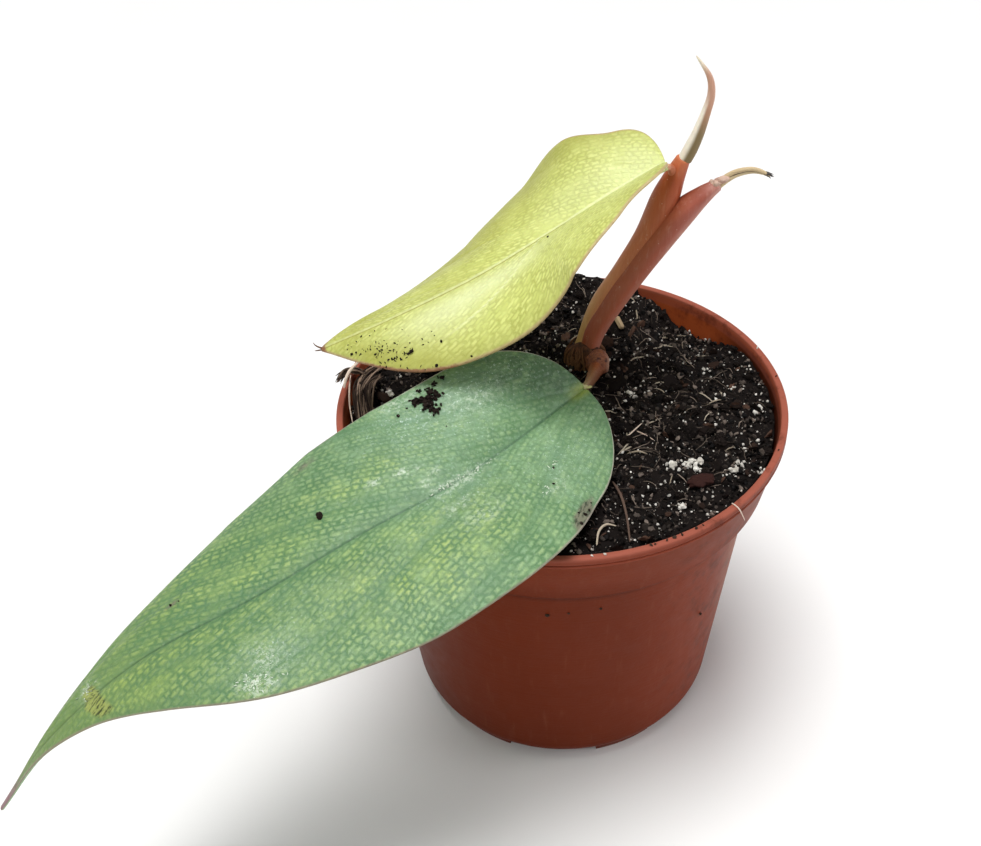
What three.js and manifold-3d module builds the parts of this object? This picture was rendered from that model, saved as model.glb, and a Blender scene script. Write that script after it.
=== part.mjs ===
// A young philodendron with two leaves, potted in a small round nursery pot.
// Millimetres, +Z up. The pot stands on z = 0, its axis is the z axis and the
// photograph was taken from the -Y side, looking down on the soil.
import * as THREE from "three";
import Module from "manifold-3d";
import { mergeVertices } from "three/addons/utils/BufferGeometryUtils.js";

const wasm = await Module();
wasm.setup();

// Free space left between two pieces that touch.
const GAP = 0.3;

// Pot.
const POT_HEIGHT = 66;
const LIP_RADIUS = 40;
const LIP_BORE = 38.75;
const LIP_RIDGE_HEIGHT = 1.1;
const COLLAR_TOP_RADIUS = 39.3;
const COLLAR_FOOT_RADIUS = 37.4;
const COLLAR_FOOT_Z = 54.2;
const WALL_TOP_RADIUS = 34.9;
const WALL_FOOT_RADIUS = 29.5;
const CORNER_RADIUS = 3;
const WALL_THICKNESS = 1.1;
const SHOULDER = 0.4;
const RIDGE = 0.35;
const INSIDE_STEP_HEIGHT = 1.6;
const FOOT_HEIGHT = 1.2;
const FOOT_SLOPE = 0.8;
const FLOOR_TOP_Z = 2.5;
const POT_SEGMENTS = 60;
const FOOT_COUNT = 6;
const FOOT_INNER_RADIUS = 21;
const FOOT_OUTER_RADIUS = 27;
const FOOT_GAP_WIDTH = 13;
const FIRST_FOOT_GAP_ANGLE = -94;
const CENTRE_FOOT_RADIUS = 5;
const DRAIN_WIDTH = 5;
const DRAIN_INNER_RADIUS = 12;
const DRAIN_OUTER_RADIUS = 22;

// Soil.
const SOIL_LEVEL = 64.3;
const SOIL_RINGS = 14;
const SOIL_SEGMENTS = 60;
const SOIL_CORNER_HEIGHT = 3.4;
const CRUMB_COUNT = 150;
const CRUMB_SPREAD = 37;
// Broad heaps and dips: centre x, centre y, half length in x, half length in y, height.
const SOIL_HEAPS = [
  [4, 36, 13, 7, 3.0],
  [27, 28, 10, 9, -4.2],
  [10.5, 24.5, 3, 2.6, -3.0],
  [36, 0, 7, 14, -1.2],
  [-34, 2, 7, 12, -1.6],
  [21, -15, 7, 4, 0.5],
];

// Blades. The spine runs from the leaf stalk to the tip. Half widths, rolls and folds
// are evenly spaced along it. Roll lifts the far side, fold lifts both sides.
const GREEN_BLADE = {
  spine: [
    [4.3, -2.6, 70.5],
    [-7.5, -18.5, 71.9],
    [-18.0, -30.8, 72.9],
    [-31.5, -39.0, 70.3],
    [-47.2, -47.0, 64.9],
    [-64.8, -54.7, 58.8],
    [-78.1, -62.1, 50.2],
    [-88.9, -65.5, 36.2],
  ],
  halfWidth: [12.6, 15.8, 19.6, 21.6, 22.4, 20.6, 17.4, 11.0, 4.8, 1.6, 0.6],
  roll: [19, 8, 4, -2, 9],
  farFold: [23, -2, -6, -6, 7],
  nearFold: [1, -1, -5, -3, 3],
  arch: 0.2,
  lobe: -0.08,
  roundEnd: 0.12,
  wave: { height: 0.35, turns: 3.5, start: 0.5 },
};
const YELLOW_BLADE = {
  spine: [
    [17.6, 11.2, 106.5],
    [8.4, 9.3, 101.8],
    [-1.7, 6.5, 96.3],
    [-13.9, 2.2, 90.8],
    [-28.9, -1.0, 84.4],
    [-41.4, -0.5, 78.0],
  ],
  halfWidth: [9.4, 10.2, 15.4, 18.6, 16.6, 14.4, 11.8, 6.0, 0.8],
  roll: [-3, 0, -10, 4, 4, 22],
  farFold: [22, 21, 2, -18, -20, -13],
  nearFold: [25, 21, 1, -13, -23, -18],
  arch: 0.25,
  lobe: 0.2,
  roundEnd: 0.11,
  wave: { height: 0.3, turns: 2.5, start: 0 },
};
const BLADE_THICKNESS = 0.7;
const BLADE_EDGE_THICKNESS = 0.6;
// The near side's wave runs this many radians ahead of the far side's.
const WAVE_SIDE_SHIFT = 1.3;
// Share of the blade's length that the lobes at the leaf stalk take up.
const LOBE_REACH = 0.12;
// Rows of a blade crowd towards the leaf stalk, where its outline turns most.
const ROW_CROWDING = 1.4;

// Stems: points along the middle and the radius at each.
const YELLOW_PETIOLE = {
  middle: [
    [3.4, 15, 63.4],
    [4.4, 15, 66.8],
    [7.1, 15, 75.7],
    [11.2, 15, 83.3],
    [15.1, 15, 90.5],
    [18.0, 15, 97.6],
    [19.6, 15, 102.2],
    [21.1, 15, 106.0],
  ],
  radius: [1.5, 1.6, 1.7, 1.7, 2.0, 2.5, 2.2, 1.3],
};
const BLADE_STUB = {
  middle: [
    [19.6, 15, 101.8],
    [18.8, 13.8, 104.2],
    [17.9, 11.7, 105.9],
  ],
  radius: [1.2, 1.0, 0.8],
};
const RIGHT_SHEATH = {
  middle: [
    [5.0, 13.8, 64.8],
    [6.5, 13.8, 71.0],
    [9.6, 13.8, 77.3],
    [13.8, 13.8, 84.4],
    [17.6, 13.8, 90.6],
    [21.2, 14.0, 95.8],
    [24.4, 14.3, 98.9],
    [27.2, 14.8, 100.8],
  ],
  radius: [1.5, 1.8, 2.0, 2.1, 2.3, 2.3, 1.6, 0.9],
};
const DRIED_TIP = {
  middle: [
    [27.6, 14.9, 101.1],
    [28.8, 15, 102.0],
    [30.5, 15, 102.8],
    [32.5, 15, 103.1],
    [34.2, 15, 102.7],
    [35.5, 15, 101.9],
  ],
  radius: [0.9, 0.85, 0.8, 0.75, 0.65, 0.4],
};
const NEW_LEAF = {
  middle: [
    [20.5, 15, 104.4],
    [21.3, 15, 106.4],
    [22.0, 15, 107.5],
    [23.0, 15, 110.2],
    [24.0, 15, 113.7],
    [24.7, 15, 117.1],
    [24.2, 15, 120.2],
    [21.9, 15, 123.8],
  ],
  radius: [0.5, 0.5, 1.3, 1.3, 1.15, 0.9, 0.75, 0.3],
};
const NEW_LEAF_PIN = {
  middle: [
    [20.2, 15, 103.5],
    [21.2, 15, 106.4],
    [21.5, 15, 107.3],
  ],
  radius: [0.5, 0.5, 0.5],
};
const GREEN_PETIOLE = {
  middle: [
    [6.7, 8.9, 66.4],
    [6.0, 5.6, 67.2],
    [5.2, 1.4, 68.9],
    [4.5, -2.2, 70.3],
  ],
  radius: [1.15, 1.1, 1.0, 0.9],
};

// Stump: ellipsoids, each with its centre and its three half sizes.
const STUMP_LUMPS = [
  { centre: [4.6, 14.4, 63.4], half: [4.0, 3.8, 4.4] },
  { centre: [5.0, 13.4, 66.4], half: [2.9, 2.7, 2.4] },
  { centre: [6.9, 9.9, 66.6], half: [2.2, 2.3, 2.5] },
  { centre: [4.0, 15.6, 58.6], half: [2.6, 2.6, 4.2] },
];

// Loose pieces on the soil.
const BARK_CHIP = { centre: [23.3, -21.0, 65.6], size: [4.4, 2.2, 1.1], turn: 20, tilt: 7 };
const WOOD_STICK = {
  middle: [
    [9.3, 31.2, 65.0],
    [10.7, 28.2, 64.4],
    [12.1, 25.0, 63.4],
  ],
  radius: [0.7, 0.6, 0.5],
};
const COIR_STRANDS = [
  {
    middle: [
      [-33.4, 12.5, 64.6],
      [-35.9, 7.2, 66.0],
      [-36.3, 1.2, 66.2],
      [-34.9, -6.2, 64.8],
    ],
    radius: [0.5, 0.9, 0.9, 0.5],
  },
  {
    middle: [
      [-33.2, 9.0, 64.8],
      [-34.6, 3.6, 66.3],
      [-34.3, -1.5, 66.2],
      [-32.8, -6.4, 65.0],
    ],
    radius: [0.5, 0.8, 0.8, 0.5],
  },
  {
    middle: [
      [-35.6, 7.6, 66.2],
      [-37.6, 7.4, 67.4],
      [-39.2, 6.4, 67.7],
      [-40.4, 4.6, 67.1],
    ],
    radius: [0.6, 0.8, 0.8, 0.5],
  },
];
const PALE_STRAW = {
  middle: [
    [-36.6, 7.0, 69.6],
    [-38.0, 5.2, 69.0],
    [-38.7, 3.6, 68.2],
    [-39.0, 2.4, 67.0],
  ],
  radius: [0.35, 0.4, 0.4, 0.35],
};
const PALE_ROOT = {
  middle: [
    [5.6, -36.0, 65.2],
    [6.0, -33.4, 65.8],
    [7.2, -31.8, 65.8],
    [8.9, -31.5, 65.2],
  ],
  radius: [0.35, 0.45, 0.45, 0.35],
};
const BROWN_ROOT = {
  middle: [
    [8.6, -20.6, 65.0],
    [9.8, -25.0, 65.9],
    [10.6, -29.5, 65.4],
    [10.9, -35.2, 65.2],
  ],
  radius: [0.4, 0.5, 0.45, 0.35],
};

// Soil lumps lying on the green blade: place on the blade (along, across) and half sizes.
const GREEN_BLADE_LENGTH = 127;
const CRUMB_EDGE_HEIGHT = 0.3;
const LEAF_CRUMBS = { along: 0.183, across: 0.8, length: 2.8, width: 2.8, height: 1.6, seed: 5 };
const LEAF_CRUMB_DOT = { along: 0.46, across: 0.32, length: 1.4, width: 1.3, height: 1.1, seed: 9 };

// Sides and steps of a thin piece that lies flat.
const LYING = { sides: 7, steps: 7, sideways: [0, 0, 1] };

// Repeatable random numbers from 0 to 1.
function seededRandom(seed) {
  let state = seed;
  return () => {
    state = (state * 16807) % 2147483647;
    return state / 2147483647;
  };
}

// Smooth curve through evenly spaced numbers, at a place from 0 to 1.
function through(keys, place) {
  const spans = keys.length - 1;
  const x = Math.min(Math.max(place, 0), 1) * spans;
  const i = Math.min(Math.floor(x), spans - 1);
  const f = x - i;
  const b = keys[i];
  const c = keys[i + 1];
  const a = i > 0 ? keys[i - 1] : 2 * b - c;
  const d = i < spans - 1 ? keys[i + 2] : 2 * c - b;
  const linear = (c - a) * f;
  const square = (2 * a - 5 * b + 4 * c - d) * f * f;
  const cube = (3 * b - 3 * c + d - a) * f * f * f;
  return 0.5 * (2 * b + linear + square + cube);
}

// Point of a smooth curve through evenly spaced points.
function throughPoints(points, place) {
  const axis = (k) => through(points.map((point) => point[k]), place);
  return new THREE.Vector3(axis(0), axis(1), axis(2));
}

// Direction of travel along such a curve.
function directionAt(points, place) {
  const step = 0.004;
  const ahead = throughPoints(points, Math.min(place + step, 1));
  const behind = throughPoints(points, Math.max(place - step, 0));
  return ahead.sub(behind).normalize();
}

// Closed body from points and triangles.
function geometryFrom(points, triangles) {
  const geometry = new THREE.BufferGeometry();
  const numbers = points.flatMap((point) => [point.x, point.y, point.z]);
  geometry.setAttribute("position", new THREE.Float32BufferAttribute(numbers, 3));
  geometry.setIndex(triangles.flat());
  geometry.computeVertexNormals();
  return geometry;
}

// Solid for joining and cutting.
function solid(geometry) {
  const bare = geometry.clone();
  bare.deleteAttribute("normal");
  bare.deleteAttribute("uv");
  const merged = mergeVertices(bare, 1e-4);
  return new wasm.Manifold(
    new wasm.Mesh({
      numProp: 3,
      vertProperties: new Float32Array(merged.attributes.position.array),
      triVerts: new Uint32Array(merged.index.array),
    }),
  );
}

// Geometry of a joined or cut solid.
function fromSolid(body) {
  const mesh = body.getMesh();
  const geometry = new THREE.BufferGeometry();
  const stride = mesh.numProp;
  const count = mesh.vertProperties.length / stride;
  const positions = new Float32Array(count * 3);
  for (let i = 0; i < count; i += 1) {
    positions.set(mesh.vertProperties.subarray(i * stride, i * stride + 3), i * 3);
  }
  geometry.setAttribute("position", new THREE.BufferAttribute(positions, 3));
  geometry.setIndex(new THREE.BufferAttribute(new Uint32Array(mesh.triVerts), 1));
  geometry.computeVertexNormals();
  return geometry;
}

// Body turned about the z axis from a closed outline of radius and height pairs.
function turned(outline, segments = POT_SEGMENTS) {
  const points = outline.map(([radius, z]) => new THREE.Vector2(radius, z));
  const geometry = new THREE.LatheGeometry(points, segments);
  geometry.rotateX(Math.PI / 2);
  return geometry;
}

// Round stem along a curve, with flat ends. A spare radius makes the hole that it stands in.
function stem({ middle, radius }, { sides = 12, steps = 14, spare = 0, sideways = [0, 1, 0] } = {}) {
  const points = [];
  const triangles = [];
  const reference = new THREE.Vector3(...sideways);
  for (let i = 0; i <= steps; i += 1) {
    const place = i / steps;
    const centre = throughPoints(middle, place);
    const along = directionAt(middle, place);
    const right = new THREE.Vector3().crossVectors(along, reference).normalize();
    const front = new THREE.Vector3().crossVectors(along, right);
    const reach = through(radius, place) + spare;
    for (let j = 0; j < sides; j += 1) {
      const angle = (2 * Math.PI * j) / sides;
      const point = centre.clone();
      point.addScaledVector(right, reach * Math.cos(angle));
      point.addScaledVector(front, reach * Math.sin(angle));
      points.push(point);
    }
  }
  for (let i = 0; i < steps; i += 1) {
    for (let j = 0; j < sides; j += 1) {
      const next = (j + 1) % sides;
      const a = i * sides + j;
      const b = i * sides + next;
      triangles.push([a, b, a + sides], [b, b + sides, a + sides]);
    }
  }
  const start = points.push(throughPoints(middle, 0)) - 1;
  const end = points.push(throughPoints(middle, 1)) - 1;
  for (let j = 0; j < sides; j += 1) {
    const next = (j + 1) % sides;
    triangles.push([start, next, j]);
    triangles.push([end, steps * sides + j, steps * sides + next]);
  }
  return geometryFrom(points, triangles);
}

// Inner radius of the pot at a height.
function potBore(z) {
  const wallRun = (z - FLOOR_TOP_Z) / (COLLAR_FOOT_Z - FLOOR_TOP_Z);
  const wall = WALL_FOOT_RADIUS + (WALL_TOP_RADIUS - WALL_FOOT_RADIUS) * wallRun;
  if (z < COLLAR_FOOT_Z) {
    return wall - WALL_THICKNESS;
  }
  const collarRun = (z - COLLAR_FOOT_Z) / (POT_HEIGHT - COLLAR_FOOT_Z);
  return COLLAR_FOOT_RADIUS - WALL_THICKNESS + (LIP_BORE - COLLAR_FOOT_RADIUS + WALL_THICKNESS) * collarRun;
}

// Round stretch of an outline, from one angle to another in degrees.
function arc(radius, centre, from, to, steps) {
  const points = [];
  for (let i = 0; i <= steps; i += 1) {
    const angle = THREE.MathUtils.degToRad(from + ((to - from) * i) / steps);
    points.push([centre[0] + radius * Math.cos(angle), centre[1] + radius * Math.sin(angle)]);
  }
  return points;
}

// Outline of the thin wall: up the outside, over the lip, down the inside.
function potOutline() {
  const insideCorner = CORNER_RADIUS - WALL_THICKNESS;
  const cornerCentre = [WALL_FOOT_RADIUS - CORNER_RADIUS, FOOT_HEIGHT + CORNER_RADIUS];
  const insideCentre = [cornerCentre[0], FLOOR_TOP_Z + insideCorner];
  const lipFoot = POT_HEIGHT - LIP_RIDGE_HEIGHT;
  const insideStepFoot = COLLAR_FOOT_Z - INSIDE_STEP_HEIGHT;
  return [
    [0, FOOT_HEIGHT],
    ...arc(CORNER_RADIUS, cornerCentre, -90, -8, 5),
    [WALL_TOP_RADIUS, COLLAR_FOOT_Z - 3 * SHOULDER],
    [WALL_TOP_RADIUS + SHOULDER, COLLAR_FOOT_Z - SHOULDER],
    [COLLAR_FOOT_RADIUS - SHOULDER, COLLAR_FOOT_Z],
    [COLLAR_FOOT_RADIUS, COLLAR_FOOT_Z + SHOULDER],
    [COLLAR_TOP_RADIUS, lipFoot - 4 * RIDGE],
    [LIP_RADIUS - RIDGE, lipFoot - 3 * RIDGE],
    [LIP_RADIUS, lipFoot - 2 * RIDGE],
    [LIP_RADIUS - RIDGE, lipFoot - RIDGE],
    [LIP_RADIUS, lipFoot],
    [LIP_RADIUS, POT_HEIGHT - RIDGE],
    [LIP_RADIUS - RIDGE, POT_HEIGHT],
    [LIP_BORE + RIDGE, POT_HEIGHT],
    [LIP_BORE, POT_HEIGHT - RIDGE],
    [potBore(COLLAR_FOOT_Z), COLLAR_FOOT_Z],
    [potBore(insideStepFoot), insideStepFoot],
    ...arc(insideCorner, insideCentre, -8, -90, 3),
    [0, FLOOR_TOP_Z],
  ];
}

// Box that spans two radii at an angle, for foot gaps and drain holes.
function radialBox(inner, outer, width, bottom, top, degrees) {
  const box = new THREE.BoxGeometry(outer - inner, width, top - bottom);
  box.translate((inner + outer) / 2, 0, (bottom + top) / 2);
  box.rotateZ(THREE.MathUtils.degToRad(degrees));
  return solid(box);
}

function buildPot() {
  const sink = 0.3;
  const footTop = FOOT_HEIGHT + sink;
  let feet = solid(
    turned([
      [FOOT_INNER_RADIUS, 0],
      [FOOT_OUTER_RADIUS, 0],
      [FOOT_OUTER_RADIUS + FOOT_SLOPE, footTop],
      [FOOT_INNER_RADIUS - FOOT_SLOPE, footTop],
      [FOOT_INNER_RADIUS, 0],
    ]),
  );
  let drains = null;
  for (let i = 0; i < FOOT_COUNT; i += 1) {
    const angle = FIRST_FOOT_GAP_ANGLE + (360 / FOOT_COUNT) * i;
    const gapInner = FOOT_INNER_RADIUS - 2 * FOOT_SLOPE;
    feet = feet.subtract(radialBox(gapInner, LIP_RADIUS, FOOT_GAP_WIDTH, -1, footTop + 1, angle));
    const drain = radialBox(DRAIN_INNER_RADIUS, DRAIN_OUTER_RADIUS, DRAIN_WIDTH, 0, FLOOR_TOP_Z + 1, angle);
    drains = drains ? drains.add(drain) : drain;
  }
  const centreFoot = new THREE.CylinderGeometry(CENTRE_FOOT_RADIUS, CENTRE_FOOT_RADIUS, footTop, 24);
  centreFoot.rotateX(Math.PI / 2);
  centreFoot.translate(0, 0, footTop / 2);
  const pot = solid(turned(potOutline())).add(feet).add(solid(centreFoot)).subtract(drains);
  return fromSolid(pot);
}

// Crumbs and grains of the soil: place, reach and height, by a seeded rule.
function soilCrumbs() {
  const random = seededRandom(41);
  return Array.from({ length: CRUMB_COUNT }, () => {
    const angle = 2 * Math.PI * random();
    const distance = CRUMB_SPREAD * Math.sqrt(random());
    return {
      x: distance * Math.cos(angle),
      y: distance * Math.sin(angle),
      reach: 1.8 + 2.2 * random(),
      height: 0.3 + 0.8 * random(),
    };
  });
}

const CRUMBS = soilCrumbs();

// Height of the soil over a place.
function soilHeight(x, y) {
  let z = SOIL_LEVEL;
  for (const [cx, cy, halfX, halfY, height] of SOIL_HEAPS) {
    z += height * Math.exp(-(((x - cx) / halfX) ** 2) - ((y - cy) / halfY) ** 2);
  }
  let bump = 0;
  for (const crumb of CRUMBS) {
    const near = 1 - Math.hypot(x - crumb.x, y - crumb.y) / crumb.reach;
    if (near > 0) {
      bump = Math.max(bump, crumb.height * Math.sqrt(near));
    }
  }
  return z + bump;
}

// Filling of the pot, from the floor to the bumpy top.
function soilBlock() {
  const clearance = GAP + 0.1;
  const reach = potBore(SOIL_LEVEL) - clearance;
  const points = [new THREE.Vector3(0, 0, soilHeight(0, 0))];
  const triangles = [];
  const onRing = (distance, j, z) => {
    const angle = (2 * Math.PI * j) / SOIL_SEGMENTS;
    return new THREE.Vector3(distance * Math.cos(angle), distance * Math.sin(angle), z);
  };
  for (let ring = 1; ring <= SOIL_RINGS; ring += 1) {
    for (let j = 0; j < SOIL_SEGMENTS; j += 1) {
      const point = onRing((reach * ring) / SOIL_RINGS, j, 0);
      const z = soilHeight(point.x, point.y);
      const edge = potBore(Math.min(z, POT_HEIGHT)) - clearance;
      points.push(onRing((edge * ring) / SOIL_RINGS, j, z));
    }
  }
  const stepFoot = COLLAR_FOOT_Z - INSIDE_STEP_HEIGHT;
  const corner = FLOOR_TOP_Z + SOIL_CORNER_HEIGHT;
  const sides = [
    [potBore(COLLAR_FOOT_Z) - clearance, COLLAR_FOOT_Z + GAP],
    [potBore(stepFoot) - clearance, stepFoot],
    [potBore(corner) - clearance, corner],
    [WALL_FOOT_RADIUS - CORNER_RADIUS, FLOOR_TOP_Z + GAP],
  ];
  for (const [distance, z] of sides) {
    for (let j = 0; j < SOIL_SEGMENTS; j += 1) {
      points.push(onRing(distance, j, z));
    }
  }
  const rings = SOIL_RINGS + sides.length;
  const at = (ring, j) => 1 + (ring - 1) * SOIL_SEGMENTS + (j % SOIL_SEGMENTS);
  const bottom = points.push(new THREE.Vector3(0, 0, FLOOR_TOP_Z + GAP)) - 1;
  for (let j = 0; j < SOIL_SEGMENTS; j += 1) {
    triangles.push([0, at(1, j), at(1, j + 1)]);
    for (let ring = 1; ring < rings; ring += 1) {
      triangles.push([at(ring, j), at(ring + 1, j), at(ring + 1, j + 1)]);
      triangles.push([at(ring, j), at(ring + 1, j + 1), at(ring, j + 1)]);
    }
    triangles.push([bottom, at(rings, j + 1), at(rings, j)]);
  }
  return geometryFrom(points, triangles);
}

function stumpLump({ centre, half }, spare = 0) {
  const ball = new THREE.SphereGeometry(1, 12, 8);
  ball.scale(half[0] + spare, half[1] + spare, half[2] + spare);
  ball.translate(...centre);
  return solid(ball);
}

function buildSoil() {
  let soil = solid(soilBlock());
  for (const lump of STUMP_LUMPS) {
    soil = soil.subtract(stumpLump(lump, GAP));
  }
  for (const loose of [WOOD_STICK, ...COIR_STRANDS, PALE_ROOT, BROWN_ROOT]) {
    soil = soil.subtract(solid(stem(loose, { ...LYING, spare: GAP })));
  }
  soil = soil.subtract(solid(chipBox(2 * GAP)));
  return fromSolid(soil);
}

function buildStump() {
  let stump = null;
  for (const lump of STUMP_LUMPS) {
    stump = stump ? stump.add(stumpLump(lump)) : stumpLump(lump);
  }
  for (const standing of [YELLOW_PETIOLE, RIGHT_SHEATH]) {
    stump = stump.subtract(solid(stem(standing, { spare: GAP })));
  }
  stump = stump.subtract(solid(stem(GREEN_PETIOLE, { spare: GAP, sideways: [0, 0, 1] })));
  return fromSolid(stump);
}

function buildYellowPetiole() {
  const petiole = solid(stem(YELLOW_PETIOLE, { steps: 20 }));
  const stub = solid(stem(BLADE_STUB, { steps: 5, sides: 10 }));
  const bore = solid(stem(NEW_LEAF_PIN, { steps: 3, spare: GAP }));
  return fromSolid(petiole.add(stub).subtract(bore));
}

function buildRightSheath() {
  const sheath = solid(stem(RIGHT_SHEATH, { steps: 20 }));
  const petiole = solid(stem(YELLOW_PETIOLE, { steps: 20, spare: GAP }));
  return fromSolid(sheath.subtract(petiole));
}

// Strands of coir grown together into one tuft.
function buildCoirTuft() {
  let tuft = null;
  for (const strand of COIR_STRANDS) {
    const part = solid(stem(strand, LYING));
    tuft = tuft ? tuft.add(part) : part;
  }
  return fromSolid(tuft);
}

// Half width of a blade, rounded off towards the leaf stalk.
function bladeHalfWidth(blade, along) {
  const start = 1 - Math.min(along / blade.roundEnd, 1);
  return Math.max(through(blade.halfWidth, along), 0) * Math.sqrt(1 - start * start);
}

// Point of the blade's middle surface: along from 0 to 1, across from -1 (near) to 1 (far).
function bladePoint(blade, along, across) {
  const middle = throughPoints(blade.spine, along);
  const travel = directionAt(blade.spine, along);
  const level = new THREE.Vector3().crossVectors(travel, new THREE.Vector3(0, 0, 1)).normalize();
  const raised = new THREE.Vector3().crossVectors(level, travel);
  const roll = THREE.MathUtils.degToRad(through(blade.roll, along));
  const side = level.clone().multiplyScalar(Math.cos(roll)).addScaledVector(raised, Math.sin(roll));
  const up = raised.multiplyScalar(Math.cos(roll)).addScaledVector(level, -Math.sin(roll));
  const half = bladeHalfWidth(blade, along);
  const out = Math.abs(across);
  const sideFold = across < 0 ? blade.nearFold : blade.farFold;
  const fold = Math.tan(THREE.MathUtils.degToRad(through(sideFold, along)));
  const { height, turns, start } = blade.wave;
  const sideShift = across < 0 ? WAVE_SIDE_SHIFT : 0;
  const ripple = height * Math.sin(2 * Math.PI * turns * along + start + sideShift) * Math.min(half / 6, 1);
  const lift = half * ((fold + blade.arch) * out - blade.arch * out * out) + ripple * out * out;
  const backward = blade.lobe * Math.exp(-((along / LOBE_REACH) ** 2)) * half * out;
  return middle
    .addScaledVector(side, across * half)
    .addScaledVector(up, lift)
    .addScaledVector(travel, -backward);
}

// Upward normal of the blade at a point.
function bladeNormal(blade, along, across) {
  const step = 0.01;
  const place = Math.min(Math.max(along, 0.02), 0.985);
  const ahead = bladePoint(blade, place + step, across).sub(bladePoint(blade, place - step, across));
  const inner = Math.max(across - 0.1, -1);
  const outer = Math.min(across + 0.1, 1);
  const sideways = bladePoint(blade, place, outer).sub(bladePoint(blade, place, inner));
  return sideways.cross(ahead).normalize();
}

// Thin blade: the same triangles on both faces and a narrow wall around them.
function buildBlade(blade, lengthSteps, widthSteps) {
  const points = [];
  const triangles = [];
  const columns = widthSteps + 1;
  const pushPair = (along, across) => {
    const reach = Math.abs(across);
    const thickness = BLADE_THICKNESS + (BLADE_EDGE_THICKNESS - BLADE_THICKNESS) * reach;
    const normal = bladeNormal(blade, along, across);
    const point = bladePoint(blade, along, across);
    points.push(point.clone().addScaledVector(normal, thickness / 2));
    points.push(point.clone().addScaledVector(normal, -thickness / 2));
  };
  pushPair(0, 0);
  for (let i = 1; i < lengthSteps; i += 1) {
    const along = (i / lengthSteps) ** ROW_CROWDING;
    for (let j = 0; j < columns; j += 1) {
      pushPair(along, (2 * j) / widthSteps - 1);
    }
  }
  pushPair(1, 0);
  const rows = lengthSteps - 1;
  const top = (i, j) => 2 + 2 * (i * columns + j);
  const last = 2 + 2 * rows * columns;
  const face = (a, b, c) => {
    triangles.push([a, c, b], [a + 1, b + 1, c + 1]);
  };
  const wall = (a, b) => {
    triangles.push([a, a + 1, b], [a + 1, b + 1, b]);
  };
  for (let j = 0; j < widthSteps; j += 1) {
    face(0, top(0, j), top(0, j + 1));
    face(last, top(rows - 1, j + 1), top(rows - 1, j));
    for (let i = 0; i < rows - 1; i += 1) {
      const a = top(i, j);
      const b = top(i + 1, j);
      const c = top(i + 1, j + 1);
      const d = top(i, j + 1);
      if (j < widthSteps / 2) {
        face(a, b, c);
        face(a, c, d);
      } else {
        face(a, b, d);
        face(b, c, d);
      }
    }
  }
  wall(top(0, 0), 0);
  wall(0, top(0, widthSteps));
  wall(last, top(rows - 1, 0));
  wall(top(rows - 1, widthSteps), last);
  for (let i = 0; i < rows - 1; i += 1) {
    wall(top(i + 1, 0), top(i, 0));
    wall(top(i, widthSteps), top(i + 1, widthSteps));
  }
  return geometryFrom(points, triangles);
}

// Lump of soil on the green blade, following its surface.
function buildLeafCrumbs({ along, across, length, width, height, seed }) {
  const sides = 14;
  const rings = 3;
  const random = seededRandom(seed);
  const spin = Array.from({ length: sides }, () => 0.7 + 0.45 * random());
  const centre = bladePoint(GREEN_BLADE, along, across);
  const normal = bladeNormal(GREEN_BLADE, along, across);
  const half = bladeHalfWidth(GREEN_BLADE, along);
  const lift = BLADE_THICKNESS / 2 + GAP;
  const points = [centre.clone().addScaledVector(normal, lift + height)];
  points.push(centre.clone().addScaledVector(normal, lift));
  for (let ring = 1; ring <= rings; ring += 1) {
    const share = ring / rings;
    for (let j = 0; j < sides; j += 1) {
      const angle = (2 * Math.PI * j) / sides;
      const u = along + (share * spin[j] * length * Math.cos(angle)) / GREEN_BLADE_LENGTH;
      const v = across + (share * spin[j] * width * Math.sin(angle)) / half;
      const rough = 0.6 + 0.7 * random();
      const tall = Math.max(height * (1 - share * share) * rough, CRUMB_EDGE_HEIGHT);
      const foot = bladePoint(GREEN_BLADE, u, v).addScaledVector(bladeNormal(GREEN_BLADE, u, v), lift);
      points.push(foot.clone().addScaledVector(normal, tall));
      points.push(foot);
    }
  }
  const top = (ring, j) => 2 + 2 * ((ring - 1) * sides + (j % sides));
  const triangles = [];
  for (let j = 0; j < sides; j += 1) {
    triangles.push([0, top(1, j + 1), top(1, j)], [1, top(1, j) + 1, top(1, j + 1) + 1]);
    for (let ring = 1; ring < rings; ring += 1) {
      const a = top(ring, j);
      const b = top(ring + 1, j);
      const c = top(ring + 1, j + 1);
      const d = top(ring, j + 1);
      triangles.push([a, c, b], [a, d, c], [a + 1, b + 1, c + 1], [a + 1, c + 1, d + 1]);
    }
    const a = top(rings, j);
    const b = top(rings, j + 1);
    triangles.push([a, b, a + 1], [b, b + 1, a + 1]);
  }
  return geometryFrom(points, triangles);
}

// Chip of bark with its corners knocked off.
function chipBox(spare = 0) {
  const [length, width, thickness] = BARK_CHIP.size;
  const outline = [
    [-0.5, -0.25],
    [-0.2, -0.5],
    [0.35, -0.42],
    [0.5, 0.1],
    [0.2, 0.5],
    [-0.38, 0.36],
  ];
  const shape = new THREE.Shape(
    outline.map(([x, y]) => new THREE.Vector2(x * (length + spare), y * (width + spare))),
  );
  const chip = new THREE.ExtrudeGeometry(shape, { depth: thickness + spare, bevelEnabled: false });
  chip.translate(0, 0, -(thickness + spare) / 2);
  chip.rotateX(THREE.MathUtils.degToRad(BARK_CHIP.tilt));
  chip.rotateZ(THREE.MathUtils.degToRad(BARK_CHIP.turn));
  chip.translate(...BARK_CHIP.centre);
  return chip;
}

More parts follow.
